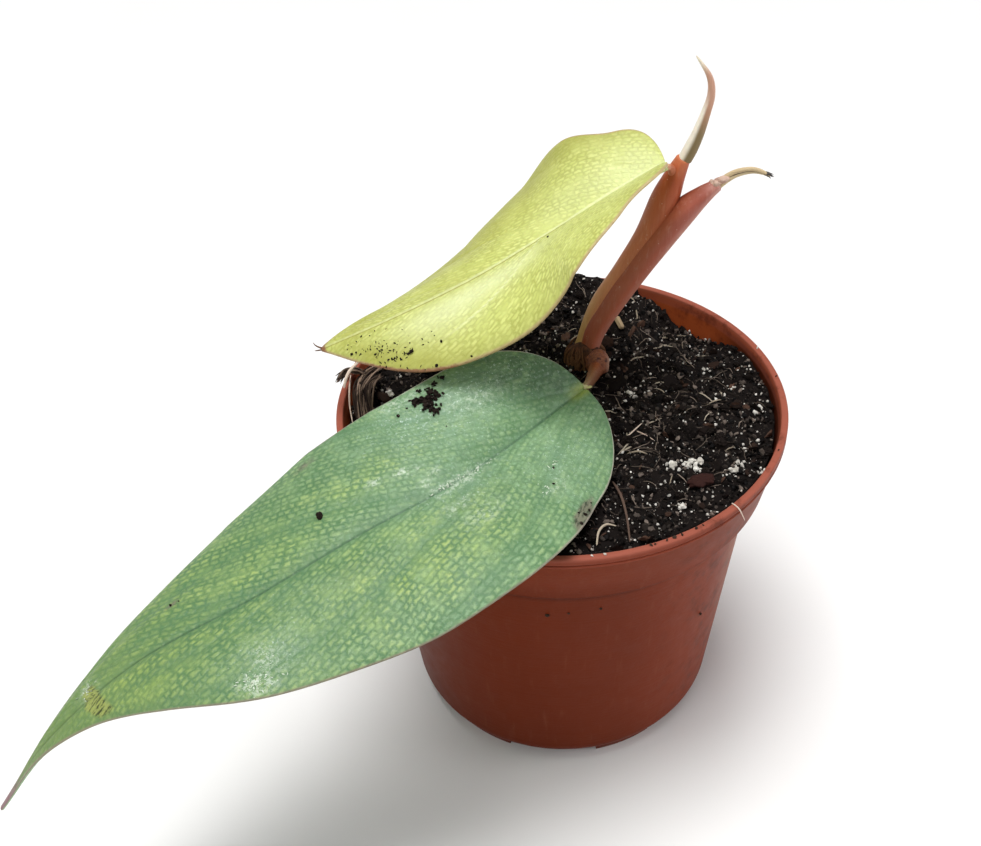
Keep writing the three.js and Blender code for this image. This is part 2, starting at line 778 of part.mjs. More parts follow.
// Named piece with its own material.
function piece(name, geometry, colour, roughness) {
  const bare = geometry.clone();
  bare.deleteAttribute("uv");
  bare.deleteAttribute("normal");
  const merged = mergeVertices(bare, 1e-4);
  merged.computeVertexNormals();
  const material = new THREE.MeshStandardMaterial({ color: colour, roughness, metalness: 0 });
  const mesh = new THREE.Mesh(merged, material);
  mesh.name = name;
  return mesh;
}

const plant = new THREE.Group();
plant.name = "potted_philodendron";
plant.add(
  piece("pot", buildPot(), "#7e3a26", 0.4),
  piece("soil", buildSoil(), "#1c1512", 0.95),
  piece("stump", buildStump(), "#6b3a22", 0.7),
  piece("green_blade", buildBlade(GREEN_BLADE, 34, 12), "#4f7f55", 0.45),
  piece("green_petiole", stem(GREEN_PETIOLE, { sides: 10, steps: 6, sideways: [0, 0, 1] }), "#b08a5e", 0.5),
  piece("yellow_blade", buildBlade(YELLOW_BLADE, 26, 12), "#c3cc68", 0.45),
  piece("yellow_petiole", buildYellowPetiole(), "#8a4428", 0.4),
  piece("right_sheath", buildRightSheath(), "#8f4438", 0.4),
  piece("dried_tip", stem(DRIED_TIP, { sides: 8, steps: 10 }), "#c8a877", 0.7),
  piece("new_leaf", stem(NEW_LEAF, { sides: 10, steps: 18 }), "#c9b98a", 0.5),
  piece("bark_chip", chipBox(), "#5a2c20", 0.8),
  piece("wood_stick", stem(WOOD_STICK, LYING), "#a08a6a", 0.8),
  piece("coir_tuft", buildCoirTuft(), "#8a6f50", 0.9),
  piece("pale_straw", stem(PALE_STRAW, LYING), "#d8c3ac", 0.8),
  piece("pale_root", stem(PALE_ROOT, LYING), "#b9a07e", 0.8),
  piece("brown_root", stem(BROWN_ROOT, LYING), "#6d4a34", 0.8),
  piece("leaf_crumbs", buildLeafCrumbs(LEAF_CRUMBS), "#1c1512", 0.95),
  piece("leaf_crumb_dot", buildLeafCrumbs(LEAF_CRUMB_DOT), "#1c1512", 0.95),
);

export default plant;
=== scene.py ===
# A young philodendron with two leaves in a small round nursery pot.
# Sizes and places are in millimetres until a mesh is made. +Z is up, and the pot's
# axis is the z axis.
import math

import bmesh
import bpy
import numpy as np
from mathutils import Matrix, Vector, noise


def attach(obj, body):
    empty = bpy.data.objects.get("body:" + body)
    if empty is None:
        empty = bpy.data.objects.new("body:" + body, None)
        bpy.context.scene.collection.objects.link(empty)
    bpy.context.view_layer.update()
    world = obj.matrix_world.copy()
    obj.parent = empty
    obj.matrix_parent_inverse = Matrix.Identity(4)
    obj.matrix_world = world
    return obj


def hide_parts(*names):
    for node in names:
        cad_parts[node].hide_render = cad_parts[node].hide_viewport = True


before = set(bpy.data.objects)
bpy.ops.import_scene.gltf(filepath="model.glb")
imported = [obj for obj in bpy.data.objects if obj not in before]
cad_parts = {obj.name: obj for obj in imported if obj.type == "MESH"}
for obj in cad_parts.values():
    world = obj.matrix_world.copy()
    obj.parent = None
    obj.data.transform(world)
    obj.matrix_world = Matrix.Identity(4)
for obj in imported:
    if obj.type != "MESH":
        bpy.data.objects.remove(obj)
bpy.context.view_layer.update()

MM = 0.001

# Camera: its place and directions, and its focal length in pixels of the photograph.
PHOTO_WIDTH = 981
FOCAL_PIXELS = 1350
CAMERA_PLACE = (0, -188.14, 216.79)
CAMERA_RIGHT = (0.9986, 0.036, -0.0376)
CAMERA_UP = (0.006, 0.6388, 0.7694)
SENSOR_WIDTH = 36

# Pot.
POT_HEIGHT = 66
LIP_RADIUS = 40
LIP_BORE = 38.75
LIP_RIDGE_HEIGHT = 1.1
COLLAR_TOP_RADIUS = 39.3
COLLAR_FOOT_RADIUS = 37.4
COLLAR_FOOT_Z = 54.2
WALL_TOP_RADIUS = 34.9
WALL_FOOT_RADIUS = 29.5
CORNER_RADIUS = 4.5
WALL_THICKNESS = 1.1
SHOULDER = 0.4
RIDGE = 0.35
INSIDE_STEP_HEIGHT = 1.6
FOOT_HEIGHT = 1.2
FOOT_SLOPE = 0.8
FOOT_TOP_Z = 2.2
FLOOR_TOP_Z = 2.5
FOOT_COUNT = 6
FOOT_INNER_RADIUS = 21
FOOT_OUTER_RADIUS = 27
FOOT_GAP_WIDTH = 13
FIRST_FOOT_GAP_ANGLE = -94
CENTRE_FOOT_RADIUS = 5
DRAIN_WIDTH = 5
DRAIN_INNER_RADIUS = 12
DRAIN_OUTER_RADIUS = 22
POT_SEGMENTS = 240
POT_SHARP_ANGLE = 35

# Soil, as in the frame: broad heaps and dips (centre x and y, half lengths, height)
# and crumbs by the same seeded rule, each reach and height a least value and a range.
SOIL_LEVEL = 64.3
SOIL_HEAPS = (
    (4, 36, 13, 7, 3), (27, 28, 10, 9, -4.2), (10.5, 24.5, 3, 2.6, -3), (36, 0, 7, 14, -1.2),
    (-34, 2, 7, 12, -1.6), (21, -15, 7, 4, 0.5),
)
CRUMB_SEED = 41
CRUMB_COUNT = 150
CRUMB_SPREAD = 37
CRUMB_REACH = (1.8, 2.2)
CRUMB_HEIGHT = (0.3, 0.8)
SOIL_CLEARANCE = 0.4
SOIL_RINGS = 120
SOIL_SEGMENTS = 320
GRIT_HEIGHT, GRIT_SIZE = 0.35, 1.1
CLOD_HEIGHT, CLOD_SIZE = 0.45, 3.2
GRAIN_SPREAD = 37.6
FIBRE_SPREAD = 35
FIBRE_LIMIT = 37

# Blades: the spine runs from the leaf stalk to the tip. Half widths, rolls and folds
# are evenly spaced along it. Roll lifts the far side, fold lifts both sides. Main veins
# are given by where they would leave the midrib.
GREEN_BLADE = {
    "spine": [
        (4.3, -2.6, 70.5), (-7.5, -18.5, 71.9), (-18, -30.8, 72.9), (-31.5, -39, 70.3),
        (-47.2, -47, 64.9), (-64.8, -54.7, 58.8), (-78.1, -62.1, 50.2), (-88.9, -65.5, 36.2),
    ],
    "half_width": [13.8, 16.3, 19.6, 21.6, 22.4, 20.6, 17.4, 11.0, 4.6, 1.1, 0.35],
    "roll": [19, 8, 4, -2, 9],
    "far_fold": [23, 1, -5, -6, 7],
    "near_fold": [1, -1, -5, -3, 3],
    "arch": 0.2,
    "lobe": -0.08,
    "round_end": 0.12,
    "wave": (0.35, 3.5, 0.5),
    "length": 127,
    "grid": (330, 100),
    "far_veins": (-0.22, 0.015, 0.33, 0.56),
    "near_veins": (-0.2, 0.015, 0.235, 0.5),
    "vein_reach": 0.38,
    "vein_spread": 0.6,
}
YELLOW_BLADE = {
    "spine": [
        (17.6, 11.2, 106.5), (8.4, 9.3, 101.8), (-1.7, 6.5, 96.3), (-13.9, 2.2, 90.8),
        (-28.9, -1, 84.4), (-41.4, -0.5, 78),
    ],
    "half_width": [9.4, 10.2, 15.4, 18.6, 16.6, 14.4, 11.8, 6.0, 0.4],
    "roll": [-3, 0, -10, 4, 4, 22],
    "far_fold": [22, 22, 5, -18, -20, -13],
    "near_fold": [25, 21, 1, -13, -23, -18],
    "arch": 0.25,
    "lobe": 0.2,
    "round_end": 0.11,
    "wave": (0.3, 2.5, 0),
    "length": 68,
    "grid": (240, 80),
    "far_veins": (-0.12, 0.06, 0.34, 0.62),
    "near_veins": (0.42,),
    "vein_reach": 0.34,
    "vein_spread": 0.5,
}
BLADE_THICKNESS = 0.55
THIN_HALF_WIDTH = 0.8
EDGE_ROUNDING = 10
WAVE_SIDE_SHIFT = 1.3
FULL_WAVE_HALF_WIDTH = 6
LOBE_REACH = 0.12
FIRST_ROW = 0.0008
ROW_CROWDING = 1.4
COLUMN_CROWDING = 1.2
VEIN_BEND = 1.4
VEIN_SLANT = math.radians(20)

# Stems: points along the middle and the radius at each. Their ends are rounded over a
# few rings, and the new leaf is rolled up along a winding seam.
STEM_SIDES = 40
ROUNDED_END_RINGS = 2
YELLOW_PETIOLE = (
    [
        (3.4, 15, 63.4), (4.4, 15, 66.8), (7.1, 15, 75.7), (11.2, 15, 83.3), (15.1, 15, 90.5),
        (18, 15, 97.6), (19.6, 15, 102.2), (21.1, 15, 106),
    ],
    [1.5, 1.6, 1.7, 1.7, 2.0, 2.4, 1.8, 1.15],
)
BLADE_STUB = (
    [(19.6, 15, 101.8), (18.8, 13.8, 104.2), (17.9, 11.7, 105.9)],
    [0.9, 0.7, 0.5],
)
RIGHT_SHEATH = (
    [
        (5, 13.8, 64.8), (6.5, 13.8, 71), (9.6, 13.8, 77.3), (13.8, 13.8, 84.4),
        (17.6, 13.8, 90.6), (21.2, 14, 95.8), (24.4, 14.3, 98.9), (27.2, 14.8, 100.8),
    ],
    [1.5, 1.8, 2.0, 2.1, 2.3, 2.3, 1.6, 0.9],
)
DRIED_TIP = (
    [
        (27, 14.8, 100.6), (28.8, 15, 102), (30.5, 15, 102.8), (32.5, 15, 103.1),
        (34.2, 15, 102.7), (35.5, 15, 101.9),
    ],
    [0.9, 0.85, 0.8, 0.75, 0.65, 0.4],
)
NEW_LEAF = (
    [
        (21, 15, 105.2), (22, 15, 107.5), (23, 15, 110.2), (24, 15, 113.7), (24.7, 15, 117.1),
        (24.2, 15, 120.2), (21.9, 15, 123.8),
    ],
    [1.2, 1.2, 1.05, 0.82, 0.66, 0.48, 0.12],
)
SEAM_ANGLE = 3.9
SEAM_TWIST = 0.8
GREEN_PETIOLE = (
    [(6.7, 8.9, 66.4), (6.0, 5.6, 67.2), (5.2, 1.4, 68.9), (4.4, -2.4, 70.6)],
    [1.5, 1.2, 0.9, 0.65],
)

# Stump: ellipsoids, each with its centre and its three half sizes.
STUMP_LUMPS = (
    ((4.6, 14.4, 63.4), (4, 3.8, 4.4)),
    ((5, 13.4, 66.4), (2.9, 2.7, 2.4)),
    ((4, 15.6, 58.6), (2.6, 2.6, 4.2)),
)
KNOB = ((6.9, 9.9, 66.6), (2.2, 2.3, 2.5))
STUMP_MIDDLE = (4.7, 14.1, 0)

# Fibres round the stump: their number, the lowest and the highest point, and the level,
# half height and radius of the bulge that they lie on.
STRAND_COUNT = 70
STRAND_FOOT_Z = 61.5
STRAND_TOP_Z = 68.6
BULGE_Z = 64.2
BULGE_HALF_HEIGHT = 5.2
BULGE_RADIUS = 3.9

# Hairs at the dried tip from start to end, and the first place and the step of the
# crumpled flakes where the sheath meets it.
HAIR_COUNT = 14
HAIR_START = (34.6, 15, 102.5)
HAIR_END = (35.9, 15, 101.9)
FLAKE_COUNT = 4
FLAKE_START = (26.3, 14.6, 100.9)
FLAKE_STEP = (0.5, 0, 0.3)


def colour(code):
    """Linear colour of a hexadecimal screen colour."""
    parts = [int(code[i:i + 2], 16) / 255 for i in (1, 3, 5)]
    return tuple(p / 12.92 if p <= 0.04045 else ((p + 0.055) / 1.055) ** 2.4 for p in parts)


def through(keys, place):
    """Smooth curve through evenly spaced keys, at places from 0 to 1."""
    keys = np.asarray(keys, float)
    spans = len(keys) - 1
    x = np.clip(np.asarray(place, float), 0, 1) * spans
    i = np.minimum(np.floor(x).astype(int), spans - 1)
    f = x - i
    if keys.ndim > 1:
        f = f[..., None]
    wide = np.concatenate([[2 * keys[0] - keys[1]], keys, [2 * keys[-1] - keys[-2]]])
    a, b, c, d = wide[i], wide[i + 1], wide[i + 2], wide[i + 3]
    square = (2 * a - 5 * b + 4 * c - d) * f ** 2
    cube = (3 * b - 3 * c + d - a) * f ** 3
    return 0.5 * (2 * b + (c - a) * f + square + cube)


def unit(vectors):
    return vectors / np.maximum(np.linalg.norm(vectors, axis=-1, keepdims=True), 1e-9)


def direction(keys, place, step=0.004):
    """Direction of travel along a smooth curve."""
    place = np.asarray(place, float)
    ahead = through(keys, np.minimum(place + step, 1))
    behind = through(keys, np.maximum(place - step, 0))
    return unit(ahead - behind)


def bell(distance, width):
    return np.exp(-((distance / width) ** 2))


def rough(points, size, octaves=3):
    """Smooth random numbers from about -1 to 1, with features of a given size."""
    flat = np.asarray(points, float).reshape(-1, 3) / size
    values = [noise.fractal(Vector(p), 1.0, 2.1, octaves) for p in flat]
    return np.array(values).reshape(np.shape(points)[:-1])


class Look:
    """A material with short ways to add its nodes, the colour so far and the relief so far."""

    def __init__(self, name, roughness=0.5, specular=0.5, coat=0, subsurface=0):
        self.material = bpy.data.materials.new(name)
        self.material.use_nodes = True
        self.tree = self.material.node_tree
        self.shader = self.tree.nodes["Principled BSDF"]
        self.base = None
        self.normal = None
        for key, value in (
            ("Roughness", roughness),
            ("Specular IOR Level", specular),
            ("Coat Weight", coat),
            ("Coat Roughness", 0.25),
            ("Subsurface Weight", subsurface),
            ("Subsurface Scale", 1.2 * MM),
            ("Subsurface Radius", (1, 0.6, 0.35)),
        ):
            self.shader.inputs[key].default_value = value

    def node(self, kind, **settings):
        made = self.tree.nodes.new("ShaderNode" + kind)
        for key, value in settings.items():
            setattr(made, key, value)
        return made

    def feed(self, socket, value):
        """Links a node to a socket, or sets it. A text is a screen colour."""
        if isinstance(value, bpy.types.NodeSocket):
            self.tree.links.new(value, socket)
        elif isinstance(value, str):
            socket.default_value = (*colour(value), 1)
        else:
            socket.default_value = value

    def math(self, operation, a, b=0.5, clamp=False):
        made = self.node("Math", operation=operation, use_clamp=clamp)
        self.feed(made.inputs[0], a)
        self.feed(made.inputs[1], b)
        return made.outputs[0]

    def plus(self, a, b):
        return self.math("ADD", a, b)

    def less(self, a, b):
        return self.math("SUBTRACT", a, b)

    def share(self, *values):
        """Product of values, kept between 0 and 1."""
        product = values[0]
        for value in values[1:]:
            product = self.math("MULTIPLY", product, value, clamp=True)
        return product

    def from_axis(self, x, y):
        return self.math("SQRT", self.plus(self.math("POWER", x, 2), self.math("POWER", y, 2)))

    def mix(self, factor, a, b, blend="MIX"):
        made = self.node("Mix", data_type="RGBA", blend_type=blend)
        for index, value in ((0, factor), (6, a), (7, b)):
            self.feed(made.inputs[index], value)
        return made.outputs[2]

    def between(self, value, start, end):
        """0 up to start, 1 from end on and a smooth step from one to the other, up or down."""
        made = self.node("MapRange", interpolation_type="SMOOTHSTEP")
        for index, given in enumerate((value, start, end)):
            self.feed(made.inputs[index], given)
        return made.outputs[0]

    def vector(self, operation, *values):
        made = self.node("VectorMath", operation=operation)
        for socket, value in zip(made.inputs, values):
            self.feed(socket, value)
        return made.outputs[0]

    def place(self, stretch=(1, 1, 1)):
        """Place on the piece in millimetres, stretched along x, y and z."""
        factors = [factor / MM for factor in stretch]
        return self.vector("MULTIPLY", self.node("TexCoord").outputs["Object"], factors)

    def attribute(self, name):
        return self.node("Attribute", attribute_name=name).outputs["Vector"]

    def split(self, vector):
        made = self.node("SeparateXYZ")
        self.feed(made.inputs[0], vector)
        return made.outputs

    def noise(self, size, detail=3, roughness=0.55, vector=None, output="Fac"):
        made = self.node("TexNoise")
        self.feed(made.inputs["Vector"], self.place() if vector is None else vector)
        for key, value in (("Scale", 1 / size), ("Detail", detail), ("Roughness", roughness)):
            made.inputs[key].default_value = value
        return made.outputs[output]

    def speckle(self, size, start, end, detail=3, roughness=0.55, vector=None):
        """Noise cut to patches: 0 where it is below start and 1 where it is above end."""
        return self.between(self.noise(size, detail, roughness, vector), start, end)

    def dots(self, size, start, end):
        """Round spots around the middles of cells of a given size."""
        made = self.node("TexVoronoi")
        self.feed(made.inputs["Vector"], self.place())
        made.inputs["Scale"].default_value = 1 / size
        return self.between(made.outputs["Distance"], start, end)

    def paint(self, amount, tone, strength=1, blend="MIX"):
        """Lays a colour over the base."""
        if strength < 1:
            amount = self.math("MULTIPLY", amount, strength)
        self.base = self.mix(amount, self.base, tone, blend)

    def emboss(self, height, depth, strength=1):
        """Adds relief of a given depth in millimetres."""
        made = self.node("Bump")
        self.feed(made.inputs["Strength"], strength)
        self.feed(made.inputs["Distance"], depth * MM)
        self.feed(made.inputs["Height"], height)
        if self.normal is not None:
            self.feed(made.inputs["Normal"], self.normal)
        self.normal = made.outputs[0]

    def finish(self, roughness=None):
        values = {"Base Color": self.base, "Normal": self.normal, "Roughness": roughness}
        for key, value in values.items():
            if value is not None:
                self.feed(self.shader.inputs[key], value)
        return self.material


def add_object(name, data):
    made = bpy.data.objects.new(name, data)
    bpy.context.scene.collection.objects.link(made)
    return made


def make_mesh(name, shape):
    """Mesh from points in millimetres and faces, which are turned outward."""
    points, faces = shape
    mesh = bpy.data.meshes.new(name)
    mesh.from_pydata((np.asarray(points, float) * MM).tolist(), [], list(faces))
    work = bmesh.new()
    work.from_mesh(mesh)
    bmesh.ops.recalc_face_normals(work, faces=work.faces)
    work.to_mesh(mesh)
    work.free()
    return mesh


def piece(name, shape, look, slot, replaces=(), smooth=True, **attributes):
    """Piece of the visual model, with a value at each of its points for each attribute."""
    mesh = make_mesh(name, shape)
    mesh.polygons.foreach_set("use_smooth", np.full(len(mesh.polygons), smooth))
    for key, values in attributes.items():
        layer = mesh.attributes.new(key, "FLOAT_VECTOR", "POINT")
        layer.data.foreach_set("vector", np.asarray(values, float).ravel())
    mesh.materials.append(look)
    made = add_object(name, mesh)
    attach(made, "root")
    if replaces:
        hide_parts(*replaces)
    return made


def loft(rings):
    """Closed body through rings of points, with a fan at each end."""
    rings = np.asarray(rings, float)
    count, around = rings.shape[:2]
    points = np.concatenate([rings.reshape(-1, 3), [rings[0].mean(0), rings[-1].mean(0)]])
    i, j = np.meshgrid(np.arange(count - 1), np.arange(around), indexing="ij")
    a = i * around + j
    b = i * around + (j + 1) % around
    walls = np.stack([a, b, b + around, a + around], axis=-1).reshape(-1, 4)
    edge = np.arange(around)
    turn = (edge + 1) % around
    start = np.stack([np.full(around, count * around), turn, edge], axis=-1)
    last = (count - 1) * around
    end = np.stack([np.full(around, count * around + 1), last + edge, last + turn], axis=-1)
    return points, walls.tolist() + start.tolist() + end.tolist()


def join_shapes(shapes):
    """Several shapes as one."""
    points, faces, first = [], [], 0
    for some_points, some_faces in shapes:
        points.append(np.asarray(some_points, float))
        faces += [[first + k for k in face] for face in some_faces]
        first += len(some_points)
    return np.concatenate(points), faces


def tube_rings(stem, sides, steps, sideways=(0, 1, 0), swell=None):
    """Rings along a stem, with the place along and the outward direction of each point."""
    middle, radius = stem
    along = np.linspace(0, 1, steps + 1)
    centre = through(middle, along)
    travel = direction(middle, along)
    right = unit(np.cross(travel, np.asarray(sideways, float)))
    front = np.cross(travel, right)
    angle = np.linspace(0, 2 * math.pi, sides, endpoint=False)
    outward = right[:, None] * np.cos(angle)[:, None] + front[:, None] * np.sin(angle)[:, None]
    reach = np.repeat(through(radius, along)[:, None], sides, axis=1)
    if swell is not None:
        reach = reach + swell(along[:, None], angle[None, :])
    tip = np.clip((np.abs(2 * along - 1) - 1) * steps / (2 * ROUNDED_END_RINGS) + 1, 0, 1)
    reach = reach * np.sqrt(np.maximum(1 - tip ** 2, 0.01))[:, None]
    rings = centre[:, None] + outward * reach[..., None]
    return rings, np.repeat(along[:, None], sides, axis=1), outward


def tube(stem, sides, steps):
    return loft(tube_rings(stem, sides, steps)[0])


def with_ends(values):
    """Values of the ring points followed by those of the two end points."""
    flat = values.reshape(-1, values.shape[-1])
    return np.concatenate([flat, [values[0].mean(0), values[-1].mean(0)]])


# Blades.


def blade_half_width(blade, along):
    """Half width of a blade, rounded off where it starts."""
    start = 1 - np.minimum(along / blade["round_end"], 1)
    return np.maximum(through(blade["half_width"], along), 0) * np.sqrt(1 - start ** 2)


def blade_point(blade, along, across):
    """Middle surface of a blade: along from 0 to 1, across from -1 (near) to 1 (far)."""
    along = np.asarray(along, float)
    across = np.asarray(across, float)
    middle = through(blade["spine"], along)
    travel = direction(blade["spine"], along)
    level = unit(np.cross(travel, [0.0, 0.0, 1.0]))
    raised = np.cross(level, travel)
    roll = np.radians(through(blade["roll"], along))[..., None]
    side = np.cos(roll) * level + np.sin(roll) * raised
    up = np.cos(roll) * raised - np.sin(roll) * level
    half = blade_half_width(blade, along)
    out = np.abs(across)
    near = across < 0
    fold = np.where(near, through(blade["near_fold"], along), through(blade["far_fold"], along))
    height, turns, start = blade["wave"]
    shift = np.where(near, WAVE_SIDE_SHIFT, 0)
    ripple = height * np.sin(2 * math.pi * turns * along + start + shift)
    ripple = ripple * np.minimum(half / FULL_WAVE_HALF_WIDTH, 1)
    arch = blade["arch"]
    lift = half * ((np.tan(np.radians(fold)) + arch) * out - arch * out ** 2) + ripple * out ** 2
    backward = blade["lobe"] * bell(along, LOBE_REACH) * half * out
    moved = middle + side * (across * half)[..., None]
    return moved + up * lift[..., None] - travel * backward[..., None]


def blade_normal(blade, along, across, step=0.01):
    along = np.clip(along, 0.02, 0.985)
    ahead = blade_point(blade, along + step, across) - blade_point(blade, along - step, across)
    inner = np.maximum(across - 0.1, -1)
    outer = np.minimum(across + 0.1, 1)
    sideways = blade_point(blade, along, outer) - blade_point(blade, along, inner)
    return unit(np.cross(sideways, ahead))


def vein_phase(blade, along, across):
    """Where the side vein through a place leaves the midrib."""
    out = np.abs(across) ** VEIN_BEND
    return (along - blade["vein_reach"] * out) / (1 + blade["vein_spread"] * out)


def vein_gap(blade, along, across):
    """Distance to the nearest main side vein, in millimetres."""
    step = 0.002
    phase = vein_phase(blade, along, across)
    out = np.clip(np.abs(across), 0.02, 1)
    lengthways = (vein_phase(blade, along + step, out) - vein_phase(blade, along, out)) / step
    sideways = (vein_phase(blade, along, out + step) - vein_phase(blade, along, out)) / step
    half = np.maximum(blade_half_width(blade, along), 1)
    change = np.hypot(lengthways / blade["length"], sideways / half)
    gaps = []
    for veins, chosen in ((blade["near_veins"], across < 0), (blade["far_veins"], across >= 0)):
        nearest = np.min([np.abs(phase - vein) for vein in veins], axis=0)
        gaps.append(np.where(chosen, nearest / change, np.inf))
    return np.minimum(*gaps)


def build_blade(name, blade, look, slot, top_relief, layers):
    """Blade with rounded edges, and where each of its points lies on it."""
    rows, columns = blade["grid"]
    along = FIRST_ROW + (1 - FIRST_ROW) * np.linspace(0, 1, rows) ** ROW_CROWDING
    spread = np.linspace(-COLUMN_CROWDING, COLUMN_CROWDING, columns + 1)
    spread = np.sin(spread) / math.sin(COLUMN_CROWDING)
    across = np.concatenate([spread, spread[-2:0:-1]])
    side = np.concatenate([np.ones(columns + 1), -np.ones(columns - 1)])
    side[0] = side[columns] = 0
    s, t = np.meshgrid(along, across, indexing="ij")
    side = np.broadcast_to(side, s.shape)
    half = blade_half_width(blade, s)
    middle = blade_point(blade, s, t)
    normal = blade_normal(blade, s, t)
    from_midrib = np.abs(t) * half
    gap = vein_gap(blade, s, t)
    edge = np.sqrt(np.maximum(1 - np.abs(t) ** EDGE_ROUNDING, 0))
    body = BLADE_THICKNESS / 2 * np.minimum(half / THIN_HALF_WIDTH, 1)
    above = body + top_relief(s, t, from_midrib, gap)
    below = body + 0.75 * (1 - 0.75 * s) * bell(from_midrib, 0.75) + 0.12 * bell(gap, 0.35)
    offset = np.where(side > 0, above, np.where(side < 0, -below, 0)) * edge
    rings = middle + normal * offset[..., None]
    forward, outward = blade["length"] * s, from_midrib
    along_vein = forward * math.cos(VEIN_SLANT) + outward * math.sin(VEIN_SLANT)
    across_veins = outward * math.cos(VEIN_SLANT) - forward * math.sin(VEIN_SLANT)
    net_place = np.stack([along_vein, across_veins, np.zeros_like(s)], axis=-1)
    where = np.stack([s, t, side], axis=-1)
    gaps = np.stack([from_midrib, np.minimum(gap, 20), (1 - np.abs(t)) * half], axis=-1)
    painted = {
        key: with_ends(np.stack([patches(s, t, spots) for spots in groups], axis=-1))
        for key, groups in layers.items()
    }
    piece(
        name, loft(rings), look, slot, (name,),
        blade_place=with_ends(where),
        net_place=with_ends(net_place),
        blade_gaps=with_ends(gaps),
        **painted,
    )


def net(look, cell_length, cell_width, wander, soft):
    """Net of small cells in rows beside the side veins: its lines and a tone for each cell."""
    scaled = look.vector("DIVIDE", look.attribute("net_place"), (cell_length, cell_width, 1))
    shift = look.vector("SUBTRACT", look.noise(1.5, output="Color"), (0.5, 0.5, 0.5))
    bricks = look.node("TexBrick", offset=0.5, squash=1.3, squash_frequency=3)
    for key, value in (
        ("Vector", look.vector("MULTIPLY_ADD", shift, (wander, wander, 0), scaled)),
        ("Color1", (0, 0, 0, 1)),
        ("Color2", (1, 1, 1, 1)),
        ("Mortar", (0.5, 0.5, 0.5, 1)),
        ("Scale", 1),
        ("Brick Width", 1),
        ("Row Height", 1),
        ("Bias", 0),
        ("Mortar Size", soft),
        ("Mortar Smooth", 1),
    ):
        look.feed(bricks.inputs[key], value)
    return bricks.outputs["Fac"], bricks.outputs["Color"]


def patches(s, t, spots):
    """How strongly the soft patches of one kind show at each place of a blade."""
    total = np.zeros_like(s)
    for along, across, long, wide, strength in spots:
        total = total + strength * np.exp(-((s - along) / long) ** 2 - ((t - across) / wide) ** 2)
    return total


# Green blade. Patches: along, across, half lengths in both and strength.
YELLOWED = (
    (0.38, -0.55, 0.13, 0.25, 0.75), (0.3, -0.22, 0.07, 0.12, 0.4),
    (0.46, -0.15, 0.1, 0.12, 0.35), (0.4, 0.42, 0.14, 0.16, 0.45), (0.56, 0.2, 0.1, 0.12, 0.45),
    (0.75, -0.45, 0.06, 0.3, 1.2), (0.66, 0.62, 0.1, 0.2, 0.4), (0.62, -0.2, 0.12, 0.12, 0.45),
)
BLOOMED = (
    (0.14, 0.72, 0.1, 0.35, 0.95), (0.12, -0.55, 0.09, 0.4, 0.75),
    (0.27, -0.1, 0.08, 0.2, 0.65), (0.2, 0.35, 0.1, 0.3, 0.45), (0.3, 0.65, 0.1, 0.25, 0.55),
    (0.58, -0.62, 0.04, 0.18, 0.6), (0.52, -0.3, 0.06, 0.2, 0.35),
)
BROWNED = (
    (0.186, -1, 0.025, 0.1, 1.5), (0.443, 0.87, 0.03, 0.07, 0.6),
    (0.66, 0.52, 0.012, 0.05, 0.8), (0.165, -0.93, 0.03, 0.05, 0.9), (1, 0, 0.05, 2, 1.3),
)
CHALKED = (
    (0.6, -0.86, 0.018, 0.1, 1), (0.585, -0.62, 0.012, 0.1, 0.7), (0.57, -0.7, 0.03, 0.2, 0.25),
    (0.785, 0.3, 0.012, 0.28, 1), (0.17, -0.62, 0.02, 0.06, 0.6), (0.14, 0.55, 0.05, 0.15, 0.4),
    (0.26, -0.04, 0.06, 0.04, 0.7), (0.282, 0.156, 0.009, 0.03, 0.9),
    (0.325, 0.277, 0.009, 0.03, 0.7), (0.279, -0.403, 0.03, 0.08, 0.45),
    (0.3, 0.242, 0.01, 0.02, 1), (0.33, 0.29, 0.014, 0.03, 0.9),
    (0.373, 0.322, 0.012, 0.03, 0.8), (0.275, 0.02, 0.035, 0.012, 0.8),
    (0.225, -0.01, 0.03, 0.012, 0.7), (0.308, 0.11, 0.012, 0.03, 0.8),
    (0.295, -0.22, 0.02, 0.05, 0.6), (0.22, 0.92, 0.05, 0.07, 0.6),
)
# Painted shade: the yellow leaf's shadow on the green leaf's base, and darker spots elsewhere.
SHADED = (
    (0.04, 0.75, 0.1, 0.4, 0.95), (0, 0, 0.05, 1, 0.5), (0.03, -0.6, 0.06, 0.35, 0.3),
    (0.16, 0.12, 0.1, 0.08, 0.25), (0.4, 0.05, 0.25, 0.06, 0.2), (0.033, 0.44, 0.05, 0.3, 0.75),
    (0.264, -0.29, 0.05, 0.14, 0.25), (0.45, -0.3, 0.07, 0.12, 0.25),
    (0.45, 0.62, 0.14, 0.3, 0.15), (0.65, -0.15, 0.12, 0.4, 0.12),
)
TORN = (
    (0.784, 0.2, 0.012, 0.25, 1), (0.783, -0.25, 0.014, 0.28, 1.3),
    (0.775, -0.65, 0.016, 0.25, 1),
)


def green_relief(s, t, from_midrib, gap):
    groove = -0.22 * np.sqrt(1 - s) * bell(from_midrib, 0.35)
    side_grooves = -0.10 * bell(gap, 0.5)
    pillow = 0.25 * np.minimum(gap / 5, 1) * np.minimum(from_midrib / 4, 1)
    return groove + side_grooves + pillow


